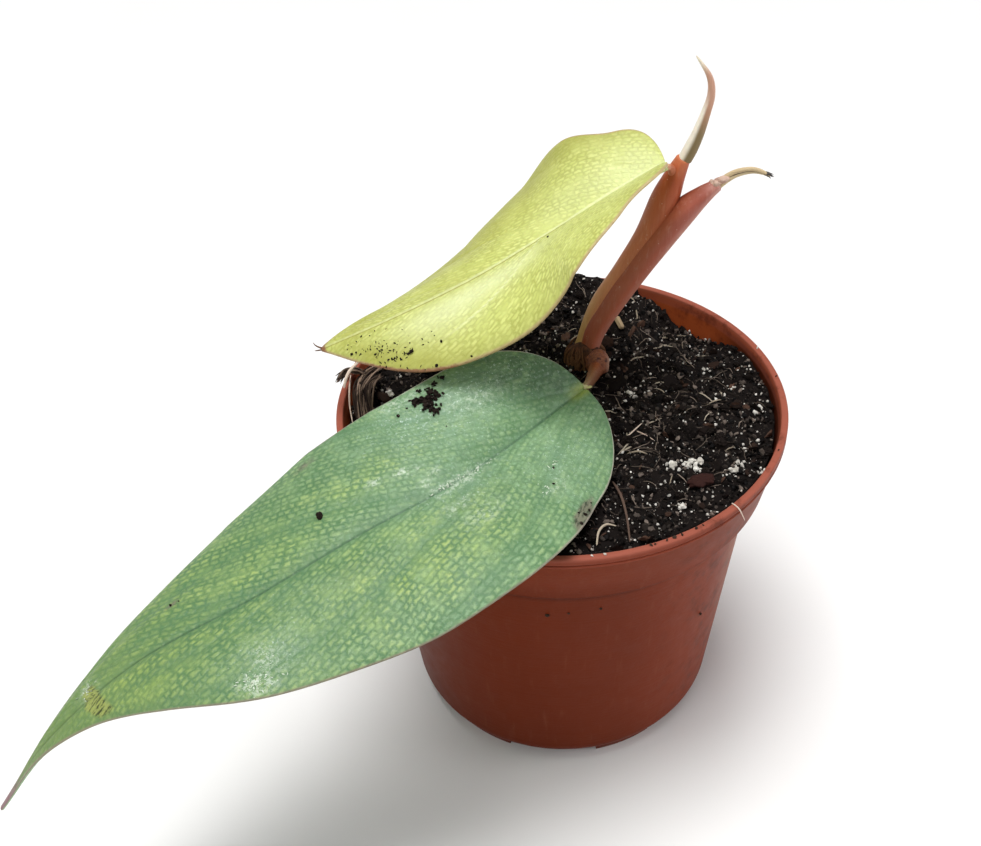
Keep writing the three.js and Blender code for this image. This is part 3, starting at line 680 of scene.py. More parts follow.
def green_blade_look():
    look = Look("green_leaf", roughness=0.4, specular=0.35, subsurface=0.04)
    along, _, side = look.split(look.attribute("blade_place"))
    from_midrib, from_vein, from_margin = look.split(look.attribute("blade_gaps"))
    yellowed, bloomed, browned = look.split(look.attribute("blade_tint"))
    chalked, shaded, torn = look.split(look.attribute("blade_marks_and_shade"))
    net_place = look.attribute("net_place")
    lines, tone = net(look, cell_length=1.4, cell_width=1.0, wander=1.25, soft=0.42)
    # Cells of the net.
    look.base = look.mix(look.between(along, 0.3, 0.75), "#82a57e", "#829d5c")
    gold = look.share(yellowed, look.plus(look.speckle(4, 0.3, 0.65), 0.2))
    look.paint(gold, "#a3bb58")
    look.paint(look.share(tone, look.plus(look.share(gold, 0.4), 0.33)), "#bacb78")
    # Lines of the net, and the plain green bands beside the main veins.
    worn = look.share(look.speckle(3.5, 0.3, 0.6), 0.5)
    faint = look.math("MULTIPLY", bloomed, 0.4)
    look.paint(look.share(lines, look.less(look.plus(worn, 0.42), faint)), "#4b7649")
    near_vein = look.math("MINIMUM", from_midrib, from_vein)
    look.paint(look.between(near_vein, 1.9, 0.2), "#587f58", 0.5)
    # Dark line along the midrib: partly its own darker green, partly painted shade in its groove.
    look.paint(look.between(from_midrib, 0.36, 0.08), "#33543a", 0.7)
    # Pale bloom, painted shade (the yellow leaf's shadow on the base and darker spots), the joint with
    # the stalk, grit, painted glints and mineral marks.
    streaks = look.speckle(2.2, 0.35, 0.7, detail=5, roughness=0.7)
    look.paint(look.share(bloomed, look.plus(streaks, 0.3)), "#84a28c", 0.55)
    # Painted shade, darkest on the base under the yellow leaf.
    look.paint(look.share(shaded, look.plus(streaks, 0.4)), "#2e4832", 0.7)
    joint = look.share(look.between(along, 0.045, 0.01), look.between(from_midrib, 2.2, 0.3))
    look.paint(joint, "#94a044", 0.8)
    look.paint(look.speckle(0.45, 0.5, 0.62, detail=5, roughness=0.8), "#4a6b47", 0.4)
    # Painted glints: tiny pale highlights, most of them where the bloom is.
    painted_glints = look.speckle(0.5, 0.57, 0.63, detail=5, roughness=0.85)
    look.paint(look.share(painted_glints, look.plus(bloomed, 0.14)), "#c8dccc")
    crust = look.speckle(0.8, 0.46, 0.6, detail=5, roughness=0.8)
    look.paint(look.share(chalked, crust), "#dbe6d2")
    look.paint(look.speckle(7, 0.35, 0.7, detail=6, roughness=0.7), "#64845c", 0.25)
    # Dark stripes along the veins, and a duller tip.
    along_veins = look.vector("MULTIPLY", net_place, (0.14, 1.2, 1))
    stripes = look.speckle(1.1, 0.42, 0.66, 5, 0.65, along_veins)
    look.paint(stripes, "#4e744a", 0.34)
    look.paint(look.between(along, 0.6, 0.9), "#7c8c42", 0.42)
    # Torn and dried places, and the dry margin, which is paler near the leaf's base.
    along_tears = look.vector("MULTIPLY", net_place, (0.35, 1.6, 1))
    cracks = look.speckle(0.8, 0.47, 0.57, 6, 0.75, along_tears)
    ragged = look.plus(torn, look.noise(0.9, detail=6, roughness=0.8))
    look.paint(look.between(ragged, 0.85, 1.35), look.mix(cracks, "#98a056", "#26260f"), 0.85)
    ragged = look.plus(browned, look.noise(0.9, detail=5, roughness=0.7))
    look.paint(look.between(ragged, 0.75, 1.35), look.mix(cracks, "#7a7464", "#2e2822"), 0.85)
    rim = look.mix(look.between(along, 0.12, 0.3), "#c4bcae", "#8e8072")
    look.paint(look.between(from_margin, 0.45, 0.1), rim, 0.75)
    look.paint(look.between(along, 0.93, 0.985), "#8a6c6e")
    # The underside is paler and plainer.
    under = look.mix(look.share(lines, 0.35), "#93af86", "#77986c")
    look.paint(look.between(side, -0.1, -0.6), under)
    look.emboss(look.less(1, lines), 0.1, 0.55)
    look.emboss(look.noise(1.8), 0.25, 0.5)
    look.emboss(look.noise(0.35, detail=4, roughness=0.7), 0.07)
    gloss = look.noise(1.6, detail=5, roughness=0.75)
    return look.finish(look.plus(look.share(gloss, 0.45), 0.2))


# Yellow blade.
# Olive patches: partly the leaf's own olive tint, partly painted shade where the far half and the tip
# bend away from the light.
OLIVE_AND_SHADE = (
    (0.25, 0.95, 0.3, 0.25, 0.9), (0.6, 0.85, 0.3, 0.45, 1), (0.93, 0, 0.12, 1.5, 0.6),
    (0.1, -0.85, 0.14, 0.3, 0.4), (0.5, -0.95, 0.3, 0.15, 0.4), (0.8, -0.75, 0.1, 0.3, 0.9),
    (0.67, 0.05, 0.08, 0.25, 0.35), (0.76, -0.95, 0.1, 0.12, 1),
)
# Paler patches: partly the leaf's own paler tint, partly painted light on the base and on the near half
# between the midrib and its side vein.
PALE = (
    (0.08, 0, 0.14, 0.6, 0.8), (0.56, -0.22, 0.14, 0.16, 0.9), (0.7, -0.35, 0.1, 0.25, 0.7),
    (0.3, 0.15, 0.15, 0.25, 0.4),
)
DRIED = (
    (1, 0, 0.02, 2, 0.9), (0.86, -1, 0.1, 0.08, 0.7), (0.75, -1, 0.08, 0.05, 0.6),
)
YELLOW_VEIN_END = 0.74


def yellow_relief(s, t, from_midrib, gap):
    taper = 1 - 0.7 * s
    midrib = 0.22 * taper * bell(from_midrib, 0.5 * taper + 0.1)
    crease = -0.14 * taper * bell(from_midrib - 0.6 * taper, 0.22) * (t < 0)
    shown = np.minimum(from_midrib, 1) * np.clip((YELLOW_VEIN_END - s) * 6, 0, 1)
    raised = np.where(t < 0, 0.24 * bell(gap, 0.35) * shown, -0.08 * bell(gap, 0.5))
    pillow = 0.3 * np.minimum(gap / 5, 1) * np.minimum(from_midrib / 4, 1)
    return midrib + crease + raised + pillow


def yellow_blade_look():
    look = Look("yellow_leaf", roughness=0.42, specular=0.3, subsurface=0.05)
    along, across, side = look.split(look.attribute("blade_place"))
    from_midrib, from_vein, from_margin = look.split(look.attribute("blade_gaps"))
    olive_and_shade, pale, dried = look.split(look.attribute("blade_tint"))
    lines, tone = net(look, cell_length=1.5, cell_width=0.7, wander=1.4, soft=0.36)
    near_side = look.math("LESS_THAN", across, 0)
    look.base = look.mix(tone, "#c4cc6e", "#d8de86")
    worn = look.share(look.speckle(3.5, 0.3, 0.6), 0.5)
    look.paint(look.share(lines, look.plus(worn, 0.22)), "#a4a850")
    # Olive patches, partly painted shade.
    look.paint(look.share(olive_and_shade, look.plus(look.noise(4), 0.4)), "#a0a04a", 0.8)
    # Paler patches, partly painted light.
    look.paint(pale, "#e2e8b6", 0.6)
    # Pale midrib with a crease on its near side, painted dark as shade, and one pale side vein that
    # fades out.
    taper = look.less(1, look.share(along, 0.6))
    rib_place = look.math("DIVIDE", from_midrib, taper)
    look.paint(look.share(look.between(rib_place, 0.6, 0.2), taper), "#e6eab8", 0.6)
    from_crease = look.math("ABSOLUTE", look.less(rib_place, 0.6))
    look.paint(look.share(look.between(from_crease, 0.24, 0.06), near_side), "#8c8440", 0.7)
    fading = look.between(along, YELLOW_VEIN_END, YELLOW_VEIN_END - 0.12)
    vein = look.share(look.between(from_vein, 0.35, 0.08), fading, near_side)
    look.paint(vein, "#e9edb6", 0.6)
    # Dry margin, dried places and grit, and the paler underside.
    look.paint(look.between(from_margin, 0.7, 0.15), "#b08c72", 0.7)
    ragged = look.plus(dried, look.noise(0.8, detail=4))
    look.paint(look.between(ragged, 0.8, 1.2), "#8a6244")
    look.paint(look.speckle(0.4, 0.54, 0.66, detail=5, roughness=0.8), "#8a8c44", 0.18)
    under = look.mix(look.share(lines, 0.3), "#ccd292", "#b6bc74")
    look.paint(look.between(side, -0.1, -0.6), under)
    wrinkle_place = look.vector("MULTIPLY", look.attribute("net_place"), (0.4, 1.5, 1))
    look.emboss(look.less(1, lines), 0.08, 0.5)
    look.emboss(look.noise(0.9, detail=4, vector=wrinkle_place), 0.2, 0.6)
    look.emboss(look.noise(0.4, detail=4, roughness=0.7), 0.04)
    gloss = look.noise(1.8, detail=5, roughness=0.75)
    return look.finish(look.plus(look.share(gloss, 0.3), 0.28))


# Pot.


def slope(z, start, end, low, high):
    """Value at z on the straight line from low at start to high at end."""
    return low + (high - low) * (z - start) / (end - start)


def pot_bore(z):
    """Radius of the pot's inside at a height."""
    lower = slope(z, FLOOR_TOP_Z, COLLAR_FOOT_Z, WALL_FOOT_RADIUS, WALL_TOP_RADIUS) - WALL_THICKNESS
    foot_bore = COLLAR_FOOT_RADIUS - WALL_THICKNESS
    return np.where(z < COLLAR_FOOT_Z, lower, slope(z, COLLAR_FOOT_Z, POT_HEIGHT, foot_bore, LIP_BORE))


def polar(radius, angle, z):
    """Points at distances from the pot's axis, angles and heights."""
    return np.stack(np.broadcast_arrays(radius * np.cos(angle), radius * np.sin(angle), z), axis=-1)


def arc(radius, centre, start, end, steps):
    angles = np.radians(np.linspace(start, end, steps + 1))
    return [(centre[0] + radius * math.cos(a), centre[1] + radius * math.sin(a)) for a in angles]


def pot_outline():
    """Outline of the thin wall: up the outside, over the lip, down the inside."""
    inside_corner = CORNER_RADIUS - WALL_THICKNESS
    corner_centre = (WALL_FOOT_RADIUS - CORNER_RADIUS, FOOT_HEIGHT + CORNER_RADIUS)
    inside_centre = (corner_centre[0], FLOOR_TOP_Z + inside_corner)
    lip_foot = POT_HEIGHT - LIP_RIDGE_HEIGHT
    inside_step = COLLAR_FOOT_Z - INSIDE_STEP_HEIGHT
    return [
        *arc(CORNER_RADIUS, corner_centre, -90, -8, 10),
        (WALL_TOP_RADIUS, COLLAR_FOOT_Z - 3 * SHOULDER),
        (WALL_TOP_RADIUS + SHOULDER, COLLAR_FOOT_Z - SHOULDER),
        *arc(SHOULDER, (COLLAR_FOOT_RADIUS - SHOULDER, COLLAR_FOOT_Z + SHOULDER), -90, -8, 4),
        (COLLAR_TOP_RADIUS, lip_foot - 4 * RIDGE),
        (LIP_RADIUS - RIDGE, lip_foot - 3 * RIDGE),
        *arc(RIDGE, (LIP_RADIUS - RIDGE, lip_foot - 2 * RIDGE), -45, 70, 4),
        *arc(RIDGE, (LIP_RADIUS - RIDGE, lip_foot), -70, 0, 3),
        *arc(RIDGE, (LIP_RADIUS - RIDGE, POT_HEIGHT - RIDGE), 0, 90, 5),
        *arc(RIDGE, (LIP_BORE + RIDGE, POT_HEIGHT - RIDGE), 90, 180, 5),
        (float(pot_bore(COLLAR_FOOT_Z)), COLLAR_FOOT_Z),
        (float(pot_bore(inside_step)), inside_step),
        *arc(inside_corner, inside_centre, -8, -90, 6),
    ]


def turned(outline, segments):
    """Body turned from an outline that starts and ends away from the axis."""
    angle = np.linspace(0, 2 * math.pi, segments, endpoint=False)
    outline = np.asarray(outline, float)
    return loft(polar(outline[:, :1], angle, outline[:, 1:]))


def foot_wedge(start, end, steps=24):
    """One foot: a low wedge of a ring between two angles in degrees."""
    inner, outer = FOOT_INNER_RADIUS, FOOT_OUTER_RADIUS
    radius = np.array([inner - FOOT_SLOPE, inner, outer, outer + FOOT_SLOPE])
    angle = np.radians(np.linspace(start, end, steps + 1))[:, None]
    return loft(polar(radius, angle, [FOOT_TOP_Z, 0, 0, FOOT_TOP_Z]))


def rounded_slot(inner, outer, width, bottom, top, degrees):
    """Upright body with round ends that spans two radii at an angle."""
    reach = width / 2
    outline = arc(reach, (outer - reach, 0), -90, 90, 12) + arc(reach, (inner + reach, 0), 90, 270, 12)
    x, y = np.array(outline).T
    turn = math.radians(degrees)
    angle = np.arctan2(y, x) + turn
    return loft([polar(np.hypot(x, y), angle, z) for z in (bottom, top)])


def pot_look():
    look = Look("pot_plastic", roughness=0.45, specular=0.04)
    x, y, height = look.split(look.place())
    look.base = look.mix(look.noise(22, detail=2), "#62240c", "#6e2b12")
    # Painted light: the right side is lighter, as if lit from the right.
    look.paint(look.between(x, 8, 26), "#84351a", 0.6)
    look.paint(look.between(height, 54, 60), "#733019")
    # Painted shadow below the collar; the inside painted paler as painted light from above, with painted
    # shade and soil dirt on its right just above the soil; and the lip painted pale as a highlight.
    # Painted shadow under the collar's overhang.
    below = look.share(look.between(height, 50.4, 51.8), look.between(height, 54.9, 54.3))
    look.paint(below, "#3a170c", 0.5)
    # Painted light: the inside is paler, as if lit from above.
    middle_of_wall = look.plus(look.math("MULTIPLY", height, 0.17), 27.7)
    inside = look.math("LESS_THAN", look.from_axis(x, y), middle_of_wall)
    inside = look.share(inside, look.between(height, 55.5, 56.5))
    look.paint(inside, "#984724")
    # Painted shade under the lip, with soil dirt, on the inside's right.
    shaded_and_soiled = look.share(look.between(x, 28, 36), look.between(height, 65.4, 64.6), inside)
    look.paint(shaded_and_soiled, "#32150c", 0.92)
    # Painted highlights on the lip's ridge and on its top.
    look.paint(look.between(height, POT_HEIGHT - 2.3, POT_HEIGHT - 1.7), "#965040", 0.45)
    look.paint(look.between(height, POT_HEIGHT - 0.9, POT_HEIGHT - 0.05), "#a05c4c", 0.7)
    # Rubbed streaks, smudges on the right, and a painted sheen near the right edge.
    look.paint(look.speckle(1.2, 0.55, 0.85, 4, vector=look.place((1, 1, 0.12))), "#a87058", 0.1)
    smudges = look.speckle(4, 0.48, 0.66, detail=6, roughness=0.7)
    look.paint(look.share(smudges, look.between(x, 15, 26)), "#3e1c12", 0.5)
    # Painted sheen: a pale haze near the right edge stands in for the reflection there.
    middle_heights = look.share(look.between(height, 6, 28), look.between(height, 56, 48))
    look.paint(look.share(look.between(x, 27, 33.5), middle_heights), "#a4806c", 0.35)
    look.paint(look.speckle(0.5, 0.66, 0.8, detail=5, roughness=0.8), "#4b2a1f", 0.3)
    look.emboss(look.noise(0.6), 0.02)
    look.emboss(look.noise(0.5, detail=2, vector=look.place((0.02, 0.02, 1))), 0.02)
    scuffs = look.noise(3, detail=5, roughness=0.7)
    return look.finish(look.plus(look.share(scuffs, 0.25), 0.3))


def make_pot():
    look = pot_look()
    step = 360 / FOOT_COUNT
    half_gap = math.degrees(math.asin(FOOT_GAP_WIDTH / 2 / FOOT_INNER_RADIUS))
    gaps = [FIRST_FOOT_GAP_ANGLE + step * i for i in range(FOOT_COUNT)]
    body = piece("pot", turned(pot_outline(), POT_SEGMENTS), look, "pot_plastic", ("pot",))
    drain_span = (DRAIN_INNER_RADIUS, DRAIN_OUTER_RADIUS, DRAIN_WIDTH, 0.2, FLOOR_TOP_Z + 1)
    cut(body, join_shapes([rounded_slot(*drain_span, gap) for gap in gaps]))
    body.data.polygons.foreach_set("use_smooth", np.full(len(body.data.polygons), True))
    body.data.set_sharp_from_angle(angle=math.radians(POT_SHARP_ANGLE))
    feet = [foot_wedge(gap + half_gap, gap + step - half_gap) for gap in gaps]
    feet.append(turned([(CENTRE_FOOT_RADIUS, 0), (CENTRE_FOOT_RADIUS, FOOT_HEIGHT + 0.1)], 48))
    piece("pot_feet", join_shapes(feet), look, "pot_plastic", smooth=False)


def cut(body, shape):
    """Takes a shape away from a piece."""
    cutter = add_object("cutter", make_mesh("cutter", shape))
    modifier = body.modifiers.new("cut", "BOOLEAN")
    modifier.operation = "DIFFERENCE"
    modifier.solver = "EXACT"
    modifier.object = cutter
    bpy.context.view_layer.update()
    evaluated = body.evaluated_get(bpy.context.evaluated_depsgraph_get())
    result = bpy.data.meshes.new_from_object(evaluated)
    body.modifiers.clear()
    body.data = result
    bpy.data.objects.remove(cutter)


# Soil.


def soil_crumbs():
    """Places, reaches and heights of the crumbs in the frame's soil, by its seeded rule."""
    state = CRUMB_SEED
    crumbs = []
    for _ in range(CRUMB_COUNT):
        drawn = []
        for _ in range(4):
            state = state * 16807 % 2147483647
            drawn.append(state / 2147483647)
        angle = 2 * math.pi * drawn[0]
        away = CRUMB_SPREAD * math.sqrt(drawn[1])
        x, y = away * math.cos(angle), away * math.sin(angle)
        reach = CRUMB_REACH[0] + CRUMB_REACH[1] * drawn[2]
        height = CRUMB_HEIGHT[0] + CRUMB_HEIGHT[1] * drawn[3]
        crumbs.append((x, y, reach, height))
    return crumbs


CRUMBS = soil_crumbs()


def soil_height(x, y):
    """Height of the soil's top in the frame, without the fine grit."""
    z = SOIL_LEVEL + np.zeros(np.shape(x))
    for cx, cy, half_x, half_y, height in SOIL_HEAPS:
        z = z + height * np.exp(-((x - cx) / half_x) ** 2 - ((y - cy) / half_y) ** 2)
    bump = np.zeros(np.shape(x))
    for cx, cy, reach, height in CRUMBS:
        near = np.clip(1 - np.hypot(x - cx, y - cy) / reach, 0, None)
        bump = np.maximum(bump, height * np.sqrt(near))
    return z + bump


def on_soil(x, y, lift=0):
    return np.stack([x, y, soil_height(x, y) + lift], axis=-1)


def soil_block():
    """Filling of the pot, with lumps and grains on its top."""
    angle = np.linspace(0, 2 * math.pi, SOIL_SEGMENTS, endpoint=False)
    share = np.linspace(0.002, 1, SOIL_RINGS)[:, None]
    flat = polar((pot_bore(SOIL_LEVEL) - SOIL_CLEARANCE) * share, angle, 0)
    place = on_soil(flat[..., 0], flat[..., 1])
    z = place[..., 2] + GRIT_HEIGHT * rough(place, GRIT_SIZE, 4)
    z = z + CLOD_HEIGHT * rough(place + (0, 0, 50), CLOD_SIZE)
    edge = pot_bore(np.minimum(z, POT_HEIGHT)) - SOIL_CLEARANCE
    inside_step = COLLAR_FOOT_Z - INSIDE_STEP_HEIGHT
    sides = [
        (pot_bore(COLLAR_FOOT_Z) - SOIL_CLEARANCE, COLLAR_FOOT_Z + 0.3),
        (pot_bore(inside_step) - SOIL_CLEARANCE, inside_step),
        (pot_bore(6) - SOIL_CLEARANCE, 6),
        (WALL_FOOT_RADIUS - CORNER_RADIUS, FLOOR_TOP_Z + 0.3),
    ]
    walls = [polar(radius, angle, height) for radius, height in sides]
    return loft(np.concatenate([polar(edge * share, angle, z), walls]))


def unit_ball(level):
    ball = bmesh.new()
    bmesh.ops.create_icosphere(ball, subdivisions=level, radius=1)
    points = np.array([v.co[:] for v in ball.verts])
    faces = [[v.index for v in face.verts] for face in ball.faces]
    ball.free()
    return points, faces


BALLS = {level: unit_ball(level) for level in (1, 2, 3, 4)}


def pebble(random, centre, half, level, jag, tilt=3):
    """Uneven grain with its centre and its half sizes."""
    points, faces = BALLS[level]
    uneven = points * (1 + jag * random.uniform(-1, 1, (len(points), 1)))
    turn = Matrix.Rotation(random.uniform(-tilt, tilt), 3, Vector(random.normal(size=3)).normalized())
    spin = Matrix.Rotation(random.uniform(0, 6.28), 3, "Z")
    shaped = uneven * np.asarray(half, float) @ np.array(spin @ turn).T
    return shaped + np.asarray(centre, float), faces


def scatter(random, count, spread=GRAIN_SPREAD):
    """Places on the soil: x, y and height."""
    angle = random.uniform(0, 2 * math.pi, count)
    away = spread * np.sqrt(random.uniform(0, 1, count))
    return on_soil(away * np.cos(angle), away * np.sin(angle))


def grains(seed, count, sizes, level, jag, flat, lift, places=None):
    """Many loose grains on the soil, most of them small."""
    random = np.random.default_rng(seed)
    shapes = []
    for place in scatter(random, count) if places is None else places:
        size = sizes[0] + (sizes[1] - sizes[0]) * random.uniform() ** 3
        half = size / 2 * random.uniform(0.7, 1.25, 3) * (1, 1, flat)
        shapes.append(pebble(random, place + (0, 0, lift * size), half, level, jag))
    return join_shapes(shapes)


def around(random, spots):
    """Places on the soil in loose groups."""
    places = []
    for x, y, reach, count in spots:
        offset = random.normal(0, reach, (count, 2))
        places.append(on_soil(x + offset[:, 0], y + offset[:, 1]))
    return np.concatenate(places)


def wandering(random, start, heading, length, radius, rise, bend, sides=5, steps=8):
    """Thin curved fibre lying on the soil, or nothing where it would be too short."""
    points = [np.array(start, float)]
    for step in range(steps):
        heading = heading + random.normal(0, bend)
        x = points[-1][0] + length / steps * math.cos(heading)
        y = points[-1][1] + length / steps * math.sin(heading)
        if math.hypot(x, y) > FIBRE_LIMIT:
            break
        arch = rise * math.sin(math.pi * (step + 1) / steps)
        points.append(on_soil(x, y, radius + arch))
    if len(points) < 3:
        return None
    return tube((points, [radius * 0.6, radius, radius, radius * 0.4]), sides, 2 * steps)


def fibres(seed, count, length, radius, rise, bend):
    random = np.random.default_rng(seed)
    shapes = []
    for place in scatter(random, count, FIBRE_SPREAD):
        heading = random.uniform(0, 2 * math.pi)
        size = random.uniform(*length), random.uniform(*radius)
        lift = rise * random.uniform(0.2, 1)
        shapes.append(wandering(random, place + (0, 0, 0.2), heading, *size, lift, bend))
    return join_shapes([shape for shape in shapes if shape])


def grain_look(name, dark, light, roughness=0.85, fleck=None, size=0.6, rare=1.0):
    """Matt stuff whose tone changes from grain to grain. Above 1, rare makes most grains dark."""
    look = Look(name, roughness=roughness, specular=0.12)
    each = look.math("POWER", look.node("NewGeometry").outputs["Random Per Island"], rare)
    mottle = look.noise(size, detail=5, roughness=0.7)
    if rare > 1:
        amount = look.share(each, look.plus(mottle, 0.4))
    else:
        amount = look.share(look.plus(each, mottle), 0.55)
    look.base = look.mix(amount, dark, light)
    if fleck:
        look.paint(look.dots(0.45, 0.16, 0.07), fleck)
    look.emboss(look.noise(size / 3, detail=5, roughness=0.75), 0.12)
    return look.finish()


# White grains in groups: x, y, reach and count.
WHITE_GROUPS = (
    (18.6, -16.8, 0.5, 12), (20.8, -16.9, 0.6, 14), (22.8, -16.9, 0.6, 12),
    (29.4, -16.8, 0.7, 14), (33.4, -17.8, 0.4, 8), (12.9, 3, 0.6, 7), (35.2, -0.9, 0.5, 7),
    (19, -26.4, 0.6, 10), (-31, 4, 1.2, 12),
)
# Loose grains: piece, look, slot, seed, count, sizes, fineness, jag, flatness and lift.
LOOSE_GRAINS = (
    ("soil_fines", "fines", "peat_soil", 11, 9000, (0.3, 1.15), 1, 0.45, 0.7, 0.3),
    ("soil_crumbs", "peat", "peat_soil", 12, 260, (1, 2.4), 3, 0.25, 0.7, 0.2),
    ("soil_flakes", "bark", "red_bark", 13, 240, (1, 3), 2, 0.4, 0.3, 0.25),
    ("white_grains", "white", "grey_wood", 14, 2000, (0.14, 0.6), 1, 0.3, 0.85, 0.8),
)


def make_soil():
    looks = {
        "peat": grain_look("peat_soil", "#070505", "#1d1613", fleck="#5c534c"),
        "fines": grain_look("soil_fines", "#070505", "#887a70", 0.5, rare=5),
        "bark": grain_look("soil_bark", "#120c0a", "#5c4438", size=0.8, rare=3),
        "white": grain_look("perlite", "#a9a297", "#f4f0e8", 0.7, size=0.3),
    }
    piece("soil", soil_block(), looks["peat"], "peat_soil", ("soil",))
    for name, look, slot, *rule in LOOSE_GRAINS:
        piece(name, grains(*rule), looks[look], slot, smooth=False)
    spots = around(np.random.default_rng(15), WHITE_GROUPS)
    groups = grains(16, 0, (0.25, 1.3), 2, 0.35, 0.8, 0.45, spots)
    piece("white_groups", groups, looks["white"], "grey_wood", smooth=False)
    wood = grain_look("soil_fibre", "#1f1814", "#a09082", size=0.5, rare=2)
    piece("soil_fibres", fibres(17, 520, (1.5, 6), (0.04, 0.09), 0.7, 0.22), wood, "coir")
    pale = grain_look("soil_straw", "#7a6a56", "#d0c4b0", size=0.5)
    piece("soil_sticks", fibres(18, 60, (2, 4), (0.08, 0.17), 0.6, 0.1), pale, "straw")


# Stems.


def stem_piece(name, stem, look, slot, nodes=(), steps=90, swell=None, sideways=(0, 1, 0)):
    """Stem with, for each point, its place along and how far it faces right and forward."""
    rings, along, outward = tube_rings(stem, STEM_SIDES, steps, sideways, swell)
    where = np.stack([along, outward[..., 0], -outward[..., 1]], axis=-1)
    piece(name, loft(rings), look, slot, nodes, stem_place=with_ends(where))


def ridges(count, depth, start=0):
    """Swelling of a stem that has lengthwise ridges."""
    return lambda along, angle: depth * np.cos(count * angle + start)


def stem_look(name, low, high, left, right, end, specks="#d9b79a", left_end=2.0):
    """Fleshy stem: low to high and end in colour, with tinted left and right sides."""
    look = Look(name, roughness=0.45, specular=0.3, subsurface=0.05)
    along, facing_right, _ = look.split(look.attribute("stem_place"))
    look.base = look.mix(look.between(along, 0.05, 0.9), low, high)
    look.paint(look.between(along, 0.84, 0.98), end)
    left_side = look.between(facing_right, -0.1, -0.9)
    look.paint(look.share(left_side, look.between(along, left_end, left_end - 0.4)), left, 0.8)
    look.paint(look.between(facing_right, 0, 0.9), right, 0.7)
    lengthwise = look.noise(0.5, detail=4, roughness=0.65, vector=look.place((1, 1, 0.18)))
    look.paint(lengthwise, right, 0.42, "MULTIPLY")
    look.paint(look.speckle(0.8, 0.5, 0.8, 5, 0.7, look.place((1, 1, 0.1))), specks, 0.22)
    look.paint(look.dots(1.3, 0.1, 0.05), specks, 0.5)
    look.emboss(lengthwise, 0.12, 0.7)
    look.emboss(look.noise(0.2), 0.03)
    return look.finish()


def make_stalk():
    # The low colour is far paler than the stalk: partly its own paler base, partly painted light against
    # the shade on its lower end. The yellow left tint is partly its own olive-yellow, partly a painted
    # highlight.
    brown = stem_look("brown_stalk", "#f0a478", "#b0542a", "#e0c478", "#b05a3c", "#cc7850", left_end=0.5)
    nodes = ("yellow_petiole",)
    stem_piece("yellow_petiole", YELLOW_PETIOLE, brown, "brown_stalk", nodes, swell=ridges(3, 0.08, 1.0))
    joint = stem_look("stalk_joint", "#c87048", "#c88460", "#d09070", "#b87050", "#e0c0a0")
    stem_piece("blade_stub", BLADE_STUB, joint, "brown_stalk", steps=30, sideways=(1, 0, 0))
    # The low colour is paler than the sheath: partly its own colour, partly painted light against the
    # shade on its lower end.
    red = stem_look("red_sheath", "#c07052", "#a85c4c", "#a85636", "#bc8070", "#bc8478", "#dcb8a6")
    nodes = ("right_sheath",)
    stem_piece("right_sheath", RIGHT_SHEATH, red, "red_sheath", nodes, swell=ridges(4, 0.1, 0.4))


def make_spike():
    look = Look("cream_shoot", roughness=0.42, specular=0.3, subsurface=0.06)
    along, facing_right, _ = look.split(look.attribute("stem_place"))
    look.base = look.mix(look.between(along, 0.3, 0.6), "#7c6a44", "#c08f74")
    edge = look.share(look.between(facing_right, -0.1, -0.7), look.between(along, 0.8, 0.5))
    look.paint(edge, "#f6eedc")
    look.paint(look.between(along, 0.5, 0.7), "#d0a08c", 0.6)
    look.paint(look.between(along, 0.84, 0.96), "#e8dcc4")
    fine = look.noise(0.35, detail=4, vector=look.place((1, 1, 0.15)))
    look.paint(fine, "#8f7656", 0.25)
    look.emboss(fine, 0.08)

    def rolled(along, angle):
        beside = angle - SEAM_ANGLE - SEAM_TWIST * along
        seam = np.arctan2(np.sin(beside), np.cos(beside))
        return 0.16 * bell(seam - 0.3, 0.35) - 0.14 * bell(seam + 0.1, 0.16)

    stem_piece("new_leaf", NEW_LEAF, look.finish(), "cream_shoot", ("new_leaf",), 120, rolled)


def twisted(stem, offset, start, radius_share):
    """Stem that winds a quarter turn round another one."""
    middle, radius = stem
    along = np.linspace(0, 1, 14)
    centre = through(middle, along)
    reach = through(radius, along)
    turn = math.pi / 2 * along + start
    y = centre[:, 1] + offset * reach * np.cos(turn)
    z = centre[:, 2] + offset * reach * np.sin(turn)
    return np.stack([centre[:, 0], y, z], axis=-1), reach * radius_share


def make_dried_tip():
    paper = grain_look("dried_sheath", "#b89a74", "#e0cfa8", 0.6, size=0.5)
    strands = [tube(twisted(DRIED_TIP, 0.45, start, 0.5), 12, 60) for start in (1.1, 4.24)]
    piece("dried_tip", join_shapes(strands), paper, "dried_sheath", ("dried_tip",))
    brown = grain_look("dried_fold", "#3a302a", "#6b5a4c", 0.6, size=0.5)
    piece("dried_fold", tube(twisted(DRIED_TIP, 0.12, 4.6, 0.42), 8, 60), brown, "dried_sheath")
    random = np.random.default_rng(20)
    hairs = []
    for _ in range(HAIR_COUNT):
        start = HAIR_START + random.normal(0, 0.18, 3)
        end = HAIR_END + random.normal(0, 0.28, 3)
        path = [start, (start + end) / 2 + (0, 0, 0.15), end]
        hairs.append(tube((path, [0.16, 0.14, 0.04]), 6, 8))
    grey = grain_look("dried_end", "#2c2a2a", "#66605c", 0.7, size=0.5)
    piece("dried_end", join_shapes(hairs), grey, "dried_sheath")
    pink = grain_look("crumpled_sheath", "#b98b7c", "#e0c3b0", 0.55, size=0.5)
    random = np.random.default_rng(21)
    places = [np.array(FLAKE_START) + k * np.array(FLAKE_STEP) for k in range(FLAKE_COUNT)]
    flakes = [pebble(random, place, (1.1, 0.7, 0.5), 3, 0.12, 0.6) for place in places]
    piece("crumpled_sheath", join_shapes(flakes), pink, "dried_sheath")


